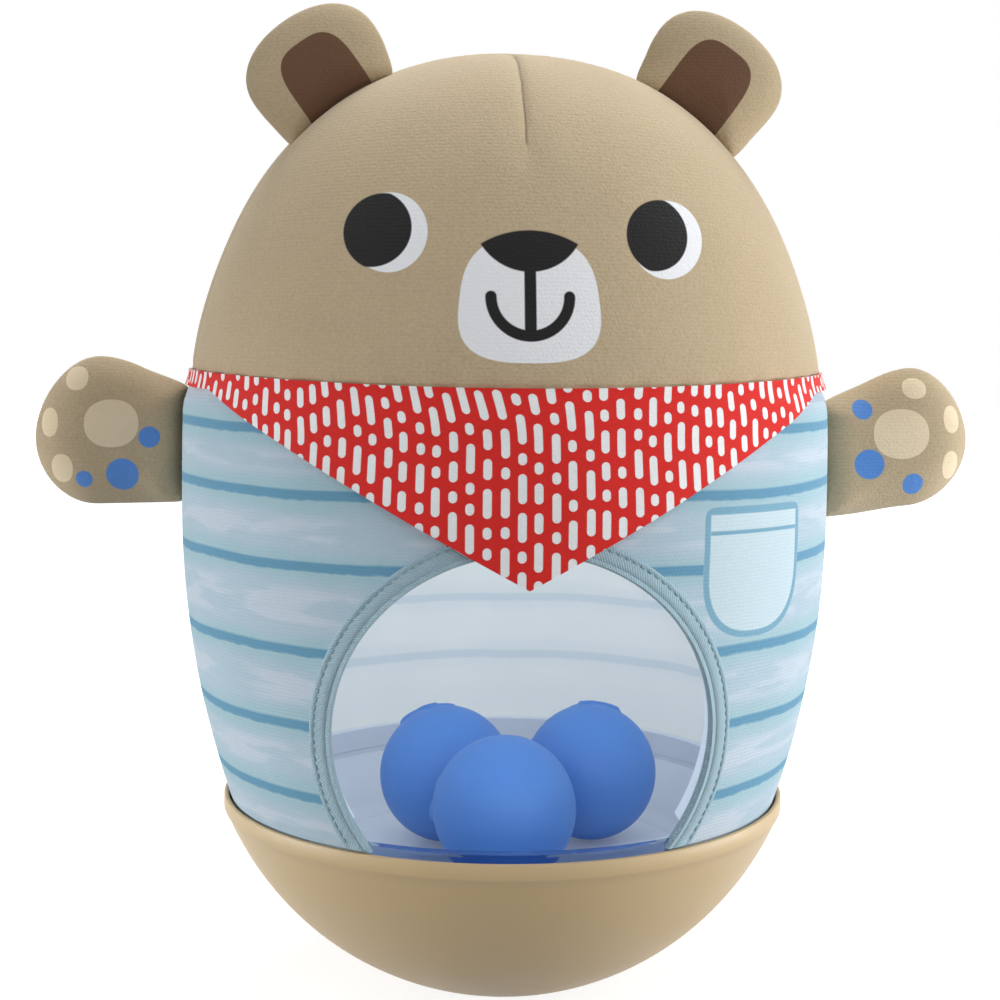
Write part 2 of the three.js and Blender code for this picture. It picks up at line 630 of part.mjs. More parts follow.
// Ears and arms, the right ones turned about from the left
const seat = earSeat();
const ear = stuffed(earOutline(seat), new THREE.Vector2(0, EAR_WIDEST), EAR_THICKNESS);
const arm = stuffed(armOutline(), new THREE.Vector2(ARM_CROWN, ARM_TIP), ARM_THICKNESS);
const armOut = bodyRadius(ARM_HEIGHT) + LIMB_GAP;
for (const [name, turn, front] of [["left", 0, FRONT], ["right", Math.PI, BACK]]) {
  const side = new THREE.Group();
  side.rotation.z = turn;
  bear.add(side);
  const earMesh = add(`ear_${name}`, ear, tanKnit, side);
  earMesh.position.set(seat.place.x, front * EAR_FORWARD, seat.place.y);
  earMesh.rotation.y = seat.lean;
  const armMesh = add(`arm_${name}`, arm, tanKnit, side);
  armMesh.position.set(armOut, 0, ARM_HEIGHT);
}

// Balls, at rest on the tray, placed in ball diameters from the middle
const ballHeight = floorHeight + CLEARANCE + ballRadius;
const ballPlaces = {
  ball_front: { place: [-0.025, -0.62], crown: [-0.85, 0.5, -0.1] },
  ball_right: { place: [-0.405, 0.36], crown: [-0.3, 0.55, 0.8] },
  ball_left: { place: [0.69, 0.36], crown: [0.15, 0.5, 0.85] },
};
const upright = new THREE.Vector3(0, 0, 1);
for (const [name, { place, crown }] of Object.entries(ballPlaces)) {
  const ball = add(name, crownedBall(), bluePlastic);
  ball.position.set(place[0] * BALL_DIAMETER, place[1] * BALL_DIAMETER, ballHeight);
  ball.quaternion.setFromUnitVectors(upright, new THREE.Vector3(...crown).normalize());
}

export default bear;
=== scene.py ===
"""Soft bear on a weighted rocker bowl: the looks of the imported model, in its own frame.

Sizes are in millimetres unless a name says otherwise, and every mesh is in metres.
The bear looks along -Y. A turn is an angle from its front towards its own left.
"""

import json
import logging
import math
from contextlib import contextmanager
from dataclasses import dataclass
from enum import Enum
from typing import Callable, Iterator, Sequence

import bpy
from mathutils import Matrix, Vector, noise

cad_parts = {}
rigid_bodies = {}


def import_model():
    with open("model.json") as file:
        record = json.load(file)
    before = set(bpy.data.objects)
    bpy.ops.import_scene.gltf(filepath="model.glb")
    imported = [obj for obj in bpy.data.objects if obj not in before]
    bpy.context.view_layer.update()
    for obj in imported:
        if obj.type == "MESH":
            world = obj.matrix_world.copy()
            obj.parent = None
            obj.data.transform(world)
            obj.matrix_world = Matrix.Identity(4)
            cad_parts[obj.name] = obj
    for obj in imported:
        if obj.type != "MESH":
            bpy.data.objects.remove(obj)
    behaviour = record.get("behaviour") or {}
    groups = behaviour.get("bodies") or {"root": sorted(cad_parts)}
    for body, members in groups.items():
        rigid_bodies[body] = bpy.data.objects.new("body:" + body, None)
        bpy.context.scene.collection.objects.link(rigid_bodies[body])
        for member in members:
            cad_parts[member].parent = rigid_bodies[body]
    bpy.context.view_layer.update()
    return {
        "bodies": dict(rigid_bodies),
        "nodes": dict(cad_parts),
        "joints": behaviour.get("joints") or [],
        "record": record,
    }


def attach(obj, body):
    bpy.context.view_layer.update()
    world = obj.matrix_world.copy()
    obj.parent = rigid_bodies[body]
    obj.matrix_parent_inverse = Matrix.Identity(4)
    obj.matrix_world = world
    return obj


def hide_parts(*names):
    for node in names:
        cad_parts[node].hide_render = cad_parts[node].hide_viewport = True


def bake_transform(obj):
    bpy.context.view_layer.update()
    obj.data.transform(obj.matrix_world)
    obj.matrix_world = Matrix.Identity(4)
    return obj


LOG = logging.getLogger("bear")
MM = 0.001
MERGED = 1e-6  # metres; points closer than this become one
Point = tuple[float, float]
Rgba = tuple[float, float, float, float]
Object = bpy.types.Object
Material = bpy.types.Material
Tree = bpy.types.NodeTree
Socket = bpy.types.NodeSocket


class Slot(Enum):
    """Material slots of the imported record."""

    TAN_PLASTIC = "tan_plastic"
    FROSTED_PLASTIC = "frosted_plastic"
    CLEAR_PLASTIC = "clear_plastic"
    STRIPED_KNIT = "striped_knit"
    BINDING_TAPE = "binding_tape"
    RED_COTTON = "red_cotton"
    TAN_KNIT = "tan_knit"
    BLUE_PLASTIC = "blue_plastic"


class Choice(Enum):
    """One of two, whose name goes into the names of pieces."""

    @property
    def word(self) -> str:
        """The choice's name in lower case."""
        return self.name.lower()


class Side(Choice):
    """The bear's own sides, as the sign of X."""

    LEFT = 1
    RIGHT = -1


class Half(Choice):
    """Front and back halves of a turned piece, as the sign of X where turning starts."""

    FRONT = 1
    BACK = -1


def ink(code: str) -> Rgba:
    """Turns a screen colour such as "b9a98d" into linear red, green, blue and alpha.

    Args:
        code: six hexadecimal digits.

    Returns:
        The colour as the shaders take it.
    """
    parts = [int(code[i : i + 2], 16) / 255 for i in (0, 2, 4)]
    linear = [c / 12.92 if c <= 0.04045 else ((c + 0.055) / 1.055) ** 2.4 for c in parts]
    return (*linear, 1.0)


def ease(share: float) -> float:
    """Smooth step from 0 to 1, flat beyond both ends."""
    share = min(1.0, max(0.0, share))
    return share * share * (3 - 2 * share)


def bump(distance: float, width: float) -> float:
    """Bell of height 1 that fades over a width."""
    return math.exp(-((distance / width) ** 2))


def bezier(points: Sequence[Point], share: float) -> Point:
    """Point on a cubic curve.

    Args:
        points: the curve's four points.
        share: how far along, from 0 to 1.

    Returns:
        The point.
    """
    rest = 1 - share
    weights = (rest**3, 3 * share * rest**2, 3 * share**2 * rest, share**3)
    return tuple(sum(w * p[i] for w, p in zip(weights, points)) for i in (0, 1))


@dataclass(frozen=True)
class Form:
    """Outside lines of the bear that several pieces share."""

    bowl_radius: float = 72.0
    bowl_centre: float = 71.435
    rim: float = 47.0
    body_widest: float = 77.1
    widest_height: float = 125.0
    waist: float = 65.247
    taper: float = 2.3
    cover: float = 2.4
    neck_height: float = 146.8
    neck_dip: float = 2.9
    back_dip: float = 0.3
    gather: float = 1.9
    gather_depth: float = 9.0
    seam_gap: float = 0.4
    head_radius: float = 75.1
    head_top: float = 222.5
    cheek: Point = (0.932, 0.45)
    crown: float = 0.685
    window_radius: float = 39.2
    window_height: float = 72.0
    stripes: Sequence[float] = (150.5, 135.0, 121.9, 107.0, 89.2, 72.9, 57.2)
    ear_forward: float = 14.0
    dart_end: float = 193.5
    dart_side: float = 0.5

    def body(self, height: float) -> float:
        """Radius of the body's cover at a height."""
        share = abs(height - self.widest_height) / (self.widest_height - self.rim)
        return self.body_widest - (self.body_widest - self.waist) * share**self.taper

    def neck(self, turn: float) -> float:
        """Height of the neck seam at a turn: it hangs a little lower across the chest."""
        dip = self.neck_dip if math.cos(turn) > 0 else self.back_dip
        return self.neck_height - dip * math.cos(turn) ** 2

    def drawn(self, below: float) -> float:
        """How far the cover is drawn in at a distance below the neck seam."""
        return self.gather * ease(1 - below / self.gather_depth)

    def head(self, share: float) -> Point:
        """Radius and height on the head's outline, from the neck to the top.

        Args:
            share: how far up the outline, from 0 to 1.

        Returns:
            The radius and the height.
        """
        rise = self.head_top - self.neck_height
        points = (
            (self.head_radius, self.neck_height),
            (self.cheek[0] * self.head_radius, self.neck_height + self.cheek[1] * rise),
            (self.crown * self.head_radius, self.head_top),
            (0.0, self.head_top),
        )
        return bezier(points, share)

    def on_body(self, turn: float, height: float, proud: float = 0.0) -> Vector:
        """Point on the body's cover, or proud of it."""
        radius = self.body(height) + proud
        return Vector((radius * math.sin(turn), -radius * math.cos(turn), height))

    def in_front(self, x: float, height: float, proud: float = 0.0) -> Vector:
        """Point on the front of the body's cover at a sideways distance."""
        radius = self.body(height) + proud
        return Vector((x, -math.sqrt(max(0.0, radius**2 - x**2)), height))


FORM = Form()


class Bench:
    """Hand tools that make and change one piece at a time."""

    @staticmethod
    def clear() -> None:
        """Leaves edit mode with nothing selected."""
        if bpy.context.object and bpy.context.object.mode != "OBJECT":
            bpy.ops.object.mode_set(mode="OBJECT")
        bpy.ops.object.select_all(action="DESELECT")

    @staticmethod
    def take(piece: Object) -> None:
        """Selects one piece alone and makes it active.

        Args:
            piece: the piece.
        """
        Bench.clear()
        piece.select_set(True)
        bpy.context.view_layer.objects.active = piece

    @staticmethod
    @contextmanager
    def edit(piece: Object) -> Iterator[None]:
        """Edit mode on a piece with all of it selected.

        Args:
            piece: the mesh.
        """
        Bench.take(piece)
        bpy.ops.object.mode_set(mode="EDIT")
        bpy.ops.mesh.select_all(action="SELECT")
        yield
        bpy.ops.object.mode_set(mode="OBJECT")

    @staticmethod
    def named(name: str) -> Object:
        """Names the piece that was just added.

        Args:
            name: its name, for its mesh too.

        Returns:
            The piece.
        """
        piece = bpy.context.object
        piece.name = name
        piece.data.name = name
        return piece

    @staticmethod
    def apply(piece: Object, kind: str, **settings: object) -> Object:
        """Puts a modifier on a piece and applies it.

        Args:
            piece: the mesh.
            kind: the modifier's type.
            settings: its properties.

        Returns:
            The same piece.
        """
        Bench.take(piece)
        bpy.ops.object.modifier_add(type=kind)
        modifier = piece.modifiers[-1]
        for key, value in settings.items():
            setattr(modifier, key, value)
        bpy.ops.object.modifier_apply(modifier=modifier.name)
        return piece

    @staticmethod
    def cut(piece: Object, tool: Object, operation: str = "DIFFERENCE") -> Object:
        """Joins or cuts a piece with another closed piece, which is used up.

        Args:
            piece: the mesh to change.
            tool: the other piece.
            operation: how the two are joined.

        Returns:
            The same piece.
        """
        Bench.apply(piece, "BOOLEAN", object=tool, operation=operation, solver="EXACT")
        bpy.data.objects.remove(tool)
        return piece

    @staticmethod
    def tidy(piece: Object, angle: float = 35.0) -> Object:
        """Merges doubles, turns faces outwards, shades smooth and puts the place in the mesh.

        Args:
            piece: the mesh.
            angle: degrees from which an edge stays sharp.

        Returns:
            The same piece.
        """
        with Bench.edit(piece):
            bpy.ops.mesh.remove_doubles(threshold=MERGED)
            bpy.ops.mesh.normals_make_consistent(inside=False)
        bpy.ops.object.transform_apply(location=True, rotation=True, scale=True)
        bpy.ops.object.shade_smooth_by_angle(angle=math.radians(angle))
        return piece

    @staticmethod
    def lathe(name: str, profile: Sequence[Point], steps: int, half: Half | None = None) -> Object:
        """Draws a profile by extruding point after point, then spins it about the upright axis.

        Args:
            name: the piece's name.
            profile: (radius, height) points. A wall's profile ends where it began.
            steps: steps of the spin.
            half: spins only the front or the back half.

        Returns:
            The turned piece, a half closed at its ends.
        """
        sign = half.value if half else 1
        places = [Vector((sign * radius, 0.0, height)) * MM for radius, height in profile]
        Bench.clear()
        bpy.ops.mesh.primitive_plane_add(size=MM)
        piece = Bench.named(name)
        with Bench.edit(piece):
            bpy.ops.mesh.merge(type="CENTER")
            bpy.ops.transform.translate(value=places[0])
            for here, there in zip(places, places[1:]):
                bpy.ops.mesh.extrude_region_move(TRANSFORM_OT_translate={"value": there - here})
            bpy.ops.mesh.select_all(action="SELECT")
            arc = math.pi if half else 2 * math.pi
            bpy.ops.mesh.spin(steps=steps, angle=arc, center=(0, 0, 0), axis=(0, 0, 1))
            bpy.ops.mesh.select_all(action="SELECT")
            bpy.ops.mesh.remove_doubles(threshold=MERGED)
            if half:
                bpy.ops.mesh.select_all(action="DESELECT")
                bpy.ops.mesh.select_non_manifold()
                bpy.ops.mesh.edge_face_add()
        return Bench.tidy(piece)

    @staticmethod
    def grid(name: str, columns: int, rows: int, place: Callable[[float, float], Vector]) -> Object:
        """Lays a grid and puts each of its points where a rule says.

        Args:
            name: the piece's name.
            columns: squares along the first share.
            rows: squares along the second share.
            place: takes both shares, from 0 to 1, and gives the point.

        Returns:
            The sheet, open where the rule leaves it open.
        """
        Bench.clear()
        bpy.ops.mesh.primitive_grid_add(x_subdivisions=columns, y_subdivisions=rows, size=2)
        piece = Bench.named(name)
        for vertex in piece.data.vertices:
            vertex.co = place((vertex.co.x + 1) / 2, (vertex.co.y + 1) / 2) * MM
        return piece

    @staticmethod
    def rings(name: str, loops: Sequence[Sequence[Vector]], closed: bool) -> Object:
        """Extrudes a first ring of points to each next ring.

        Args:
            name: the piece's name.
            loops: rings with as many points each, in order.
            closed: merges the last ring to one point.

        Returns:
            The piece.
        """
        Bench.clear()
        bpy.ops.mesh.primitive_circle_add(vertices=len(loops[0]), radius=MM)
        piece = Bench.named(name)
        count = len(loops[0])
        for step, loop in enumerate(loops):
            if step:
                with Bench.edit(piece):
                    bpy.ops.mesh.select_all(action="DESELECT")
                Bench.pick(piece, range((step - 1) * count, step * count))
                bpy.ops.object.mode_set(mode="EDIT")
                bpy.ops.mesh.extrude_edges_move()
                bpy.ops.object.mode_set(mode="OBJECT")
            for vertex, point in zip(piece.data.vertices[step * count :], loop):
                vertex.co = point * MM
        if closed:
            Bench.pick(piece, range((len(loops) - 1) * count, len(loops) * count))
            bpy.ops.object.mode_set(mode="EDIT")
            bpy.ops.mesh.merge(type="CENTER")
            bpy.ops.object.mode_set(mode="OBJECT")
        return piece

    @staticmethod
    def face(piece: Object, key: Callable[[bpy.types.MeshPolygon], float], way: Vector) -> None:
        """Turns an open sheet over where its face with the lowest key looks against a way.

        Args:
            piece: the sheet.
            key: gives each face a number.
            way: where that face should look.
        """
        with Bench.edit(piece):
            bpy.ops.mesh.normals_make_consistent(inside=False)
        probe = min(piece.data.polygons, key=key)
        if probe.normal.dot(way) < 0:
            with Bench.edit(piece):
                bpy.ops.mesh.flip_normals()

    @staticmethod
    def pick(piece: Object, numbers: Sequence[int]) -> None:
        """Selects points of a piece by number, with the edges between them.

        Args:
            piece: the mesh.
            numbers: the points' numbers.
        """
        chosen = set(numbers)
        for face in piece.data.polygons:
            face.select = False
        for vertex in piece.data.vertices:
            vertex.select = vertex.index in chosen
        for edge in piece.data.edges:
            edge.select = all(v in chosen for v in edge.vertices)

    @staticmethod
    def drill(name: str, radius: float, centre: Vector, axis: Vector, depth: float) -> Object:
        """Round bar to cut with, through a centre and along an axis.

        Args:
            name: the bar's name.
            radius: its radius.
            centre: its middle.
            axis: its way.
            depth: its whole length.

        Returns:
            The bar.
        """
        Bench.clear()
        turn = axis.to_track_quat("Z", "Y").to_euler()
        bpy.ops.mesh.primitive_cylinder_add(
            vertices=96, radius=radius * MM, depth=depth * MM, location=centre * MM, rotation=turn
        )
        return Bench.named(name)

    @staticmethod
    def mould(piece: Object, rule: Callable[[Vector], Vector]) -> Object:
        """Moves each point of a piece by a rule that takes and gives millimetres.

        Args:
            piece: the mesh.
            rule: takes a point and gives its new place.

        Returns:
            The same piece.
        """
        for vertex in piece.data.vertices:
            vertex.co = rule(vertex.co / MM) * MM
        return piece

    @staticmethod
    def copies(name: str, first: Object, places: Sequence[Matrix]) -> Object:
        """Copies a small piece to many places and joins the copies.

        Args:
            name: the joined piece's name.
            first: the piece to copy, at the origin; it is used up.
            places: where each copy goes, in metres.

        Returns:
            The joined piece.
        """
        made = []
        for place in places:
            Bench.take(first)
            bpy.ops.object.duplicate()
            copy = bpy.context.object
            copy.data.transform(place)
            made.append(copy)
        bpy.data.objects.remove(first)
        Bench.take(made[0])
        for copy in made:
            copy.select_set(True)
        bpy.ops.object.join()
        return Bench.named(name)

    @staticmethod
    def swell(piece: Object, held: Sequence[int], cap: float, pressure: float = 4.0) -> Object:
        """Blows a sewn form up as cloth with its seam held.

        Args:
            piece: the closed form.
            held: numbers of the seam's points.
            cap: the farthest a point may move.
            pressure: the filling's push.

        Returns:
            The same piece, swollen.
        """
        big = 10.0
        last = 20
        rest = [vertex.co.copy() for vertex in piece.data.vertices]
        for vertex in piece.data.vertices:
            vertex.co *= big
        seam = piece.vertex_groups.new(name="seam")
        seam.add(list(held), 1.0, "REPLACE")
        Bench.take(piece)
        bpy.ops.object.modifier_add(type="CLOTH")
        cloth = piece.modifiers[-1]
        cloth.settings.quality = 5
        cloth.settings.use_pressure = True
        cloth.settings.uniform_pressure_force = pressure
        cloth.settings.vertex_group_mass = seam.name
        cloth.settings.effector_weights.gravity = 0.0
        cloth.point_cache.frame_start = 1
        cloth.point_cache.frame_end = last
        for frame in range(1, last + 1):
            bpy.context.scene.frame_set(frame)
        bpy.ops.object.modifier_apply(modifier=cloth.name)
        bpy.context.scene.frame_set(1)
        for vertex, start in zip(piece.data.vertices, rest):
            move = vertex.co / big - start
            far = move.length / (cap * MM)
            vertex.co = start + (move / far if far > 1 else move)
        piece.vertex_groups.clear()
        return piece


def two(operation: str) -> Callable[["Wire", "Wire | float"], "Wire"]:
    """Method that puts a Math node on two numbers."""
    return lambda self, other: self.do(operation, other)


class Wire:
    """A number that changes over a surface: one output of a node, with sums on it."""

    __add__ = two("ADD")
    __sub__ = two("SUBTRACT")
    __mul__ = two("MULTIPLY")
    __truediv__ = two("DIVIDE")
    least = two("MINIMUM")
    most = two("MAXIMUM")

    def __init__(self, tree: Tree, socket: Socket) -> None:
        """Keeps the tree and the output."""
        self.tree = tree
        self.socket = socket

    def do(self, operation: str, *others: "Wire | float") -> "Wire":
        """Math node on this number and others.

        Args:
            operation: the Math node's operation.
            others: its further inputs.

        Returns:
            The node's output.
        """
        node = self.tree.nodes.new("ShaderNodeMath")
        node.operation = operation
        for number, value in enumerate((self, *others)):
            feed(self.tree, value, node.inputs[number])
        return Wire(self.tree, node.outputs[0])

    def apart(self) -> "Wire":
        """Size without its sign."""
        return self.do("ABSOLUTE")

    def floor(self) -> "Wire":
        """Whole part."""
        return self.do("FLOOR")

    def wave(self) -> "Wire":
        """Sine, one wave for each whole step."""
        return (self * (2 * math.pi)).do("SINE")

    def reach(self, other: "Wire") -> "Wire":
        """Length of the diagonal of two."""
        return (self * self + other * other).do("SQRT")

    def above(self, edge: "Wire | float", soft: float) -> "Wire":
        """1 above an edge and 0 below it, with a soft step.

        Args:
            edge: where the step lies.
            soft: half the step's width.

        Returns:
            The mask.
        """
        node = add(self.tree, "ShaderNodeMapRange", Value=self - edge, From_Min=-soft, From_Max=soft)
        node.interpolation_type = "SMOOTHSTEP"
        return Wire(self.tree, node.outputs[0])

    def below(self, edge: "Wire | float", soft: float) -> "Wire":
        """1 below an edge and 0 above it, with a soft step."""
        return self.above(edge, soft) * -1.0 + 1.0


def feed(tree: Tree, value: "Wire | Socket | Rgba | float", socket: Socket) -> None:
    """Links a wire or an output to an input, or sets the input to a plain number or colour.

    Args:
        tree: the tree of both.
        value: what the input gets.
        socket: the input.
    """
    source = value.socket if isinstance(value, Wire) else value
    if isinstance(source, Socket):
        tree.links.new(source, socket)
    else:
        socket.default_value = source


def add(tree: Tree, kind: str, **inputs: "Wire | Socket | Rgba | float") -> bpy.types.Node:
    """Adds a node and feeds its inputs.

    Args:
        tree: the material's, group's or world's tree.
        kind: the node's type.
        inputs: what its inputs get, with _ for a space.

    Returns:
        The node.
    """
    node = tree.nodes.new(kind)
    for word, value in inputs.items():
        feed(tree, value, node.inputs[word.replace("_", " ")])
    return node


def watched(tree: Tree) -> "Wire":
    """1 for rays from the camera, a mirror or clear plastic, and 0 for rays that light things.

    Args:
        tree: the material's or world's tree.

    Returns:
        The number.
    """
    path = tree.nodes.new("ShaderNodeLightPath")
    seen = Wire(tree, path.outputs["Is Camera Ray"])
    for word in ("Is Glossy Ray", "Is Transmission Ray"):
        seen = seen.most(Wire(tree, path.outputs[word]))
    return seen


def grainy(tree: Tree, vector: Socket, scale: float, detail: float = 2) -> Wire:
    """Noise from 0 to 1 on a vector."""
    node = add(tree, "ShaderNodeTexNoise", Scale=scale, Detail=detail, Vector=vector)
    return Wire(tree, node.outputs["Fac"])


def pair(tree: Tree, first: "Wire | float", second: "Wire | float") -> Socket:
    """Vector made of two numbers."""
    return add(tree, "ShaderNodeCombineXYZ", X=first, Y=second).outputs[0]


def scaled(tree: Tree, vector: Socket, by: "Wire | float") -> Socket:
    """Vector times a number.

    Args:
        tree: the tree.
        vector: the vector.
        by: the number.

    Returns:
        The new vector.
    """
    node = add(tree, "ShaderNodeVectorMath", Vector=vector)
    node.operation = "SCALE"
    feed(tree, by, node.inputs["Scale"])
    return node.outputs[0]


class Group:
    """Shader node groups for effects that several finishes share, each built once."""

    made: dict[str, Tree] = {}

    @classmethod
    def get(cls, name: str) -> Tree:
        """The group of that name, built at its first use.

        Args:
            name: the group's name.

        Returns:
            The group's tree.
        """
        if name not in cls.made:
            cls.made[name] = getattr(cls, f"_{name}")()
        return cls.made[name]

    @staticmethod
    def _start(name: str, inputs: Sequence[str], outputs: Sequence[str]) -> tuple[Tree, dict]:
        """Empty group with named sockets.

        Args:
            name: the group's name.
            inputs: names of numbers, or of a vector where the name is Vector.
            outputs: names of numbers.

        Returns:
            The tree and its inputs as wires, the vector as its socket.
        """
        tree = bpy.data.node_groups.new(name, "ShaderNodeTree")
        for word in inputs:
            kind = "NodeSocketVector" if word == "Vector" else "NodeSocketFloat"
            tree.interface.new_socket(name=word, in_out="INPUT", socket_type=kind)
        for word in outputs:
            tree.interface.new_socket(name=word, in_out="OUTPUT", socket_type="NodeSocketFloat")
        entry = tree.nodes.new("NodeGroupInput")
        wires = {}
        for word in inputs:
            socket = entry.outputs[word]
            wires[word] = socket if word == "Vector" else Wire(tree, socket)
        return tree, wires

    @staticmethod
    def _end(tree: Tree, **results: Wire) -> Tree:
        """Links results to the group's outputs.

        Args:
            tree: the group's tree.
            results: a wire for each output.

        Returns:
            The same tree.
        """
        leave = tree.nodes.new("NodeGroupOutput")
        for word, wire in results.items():
            feed(tree, wire, leave.inputs[word])
        return tree

    @classmethod
    def _cloth_grain(cls) -> Tree:
        """Rows of small loops with fuzz: knits, or a weave where loops and rows are alike."""
        tree, given = cls._start(
            "cloth_grain", ("Vector", "Along", "Up", "Loop", "Row", "Rows", "Fuzz"), ("Height", "Shade")
        )
        sway = grainy(tree, given["Vector"], 0.22) - 0.5
        row = given["Up"] / given["Row"] + sway * 0.7
        odd = (row.floor() * 0.5).do("FRACT")
        loop = (given["Along"] / given["Loop"] + odd + sway).wave()
        ridge = row.do("FRACT") * 2.0 - 1.0
        ridge = ridge * ridge * -1.0 + 1.0
        fuzz = grainy(tree, given["Vector"], 1.5, 4)
        soft = grainy(tree, given["Vector"], 0.05, 2)
        height = (ridge * 0.7 + ridge * loop * 0.25) * given["Rows"] + fuzz * given["Fuzz"]
        shade = (ridge - 0.6) * given["Rows"] * 0.5 + (fuzz - 0.5) * given["Fuzz"] * 1.2
        shade = shade + (soft - 0.5) * 0.6 + 0.5
        return cls._end(tree, Height=height, Shade=shade)

    @classmethod
    def _moulded_grain(cls) -> Tree:
        """Fine sparkle and slow blotches of moulded plastic or castings."""
        tree, given = cls._start("moulded_grain", ("Vector", "Coarse"), ("Height", "Blotch"))
        vector = scaled(tree, given["Vector"], given["Coarse"])
        fine = grainy(tree, vector, 3.0, 4)
        slow = grainy(tree, vector, 0.09, 3)
        return cls._end(tree, Height=fine, Blotch=slow)

    @classmethod
    def _print_oval(cls) -> Tree:
        """Printed oval, or a rounder box where its power is over 2."""
        tree, given = cls._start(
            "print_oval", ("X", "Z", "Middle X", "Middle Z", "Half X", "Half Z", "Turn", "Power"), ("Mask",)
        )
        across = given["X"] - given["Middle X"]
        upward = given["Z"] - given["Middle Z"]
        cosine = given["Turn"].do("COSINE")
        sine = given["Turn"].do("SINE")
        first = ((across * cosine + upward * sine) / given["Half X"]).apart()
        second = ((upward * cosine - across * sine) / given["Half Z"]).apart()
        sums = first.do("POWER", given["Power"]) + second.do("POWER", given["Power"])
        return cls._end(tree, Mask=sums.below(1.0, 0.025))

    @classmethod
    def _brushed_stripes(cls) -> Tree:
        """Hand-brushed rings round the body: lines, the wash beside them and pale streaks between."""
        tree, given = cls._start("brushed_stripes", ("Along", "Up"), ("Line", "Wash", "Streak"))
        slow = grainy(tree, pair(tree, given["Along"] * 0.022, given["Up"] * 0.02), 1.0, 1) - 0.5
        quick = grainy(tree, pair(tree, given["Along"] * 0.25, given["Up"] * 0.05), 1.0, 2) - 0.5
        height = given["Up"] + slow * 1.8 + quick * 0.5
        nearest = None
        for level in FORM.stripes:
            gap = (height - level).apart()
            nearest = gap if nearest is None else nearest.least(gap)
        line = nearest.below(quick * 0.35 + 1.05, 0.32)
        patch = grainy(tree, pair(tree, given["Along"] * 0.03, given["Up"] * 0.16), 1.0, 2)
        wash = nearest.below(patch * 4.6 + 0.8, 1.7)
        brush = grainy(tree, pair(tree, given["Along"] * 0.045, given["Up"] * 0.3), 1.0, 2)
        streak = nearest.above(4.8, 1.2) * brush.above(0.5, 0.07)
        return cls._end(tree, Line=line, Wash=wash, Streak=streak)


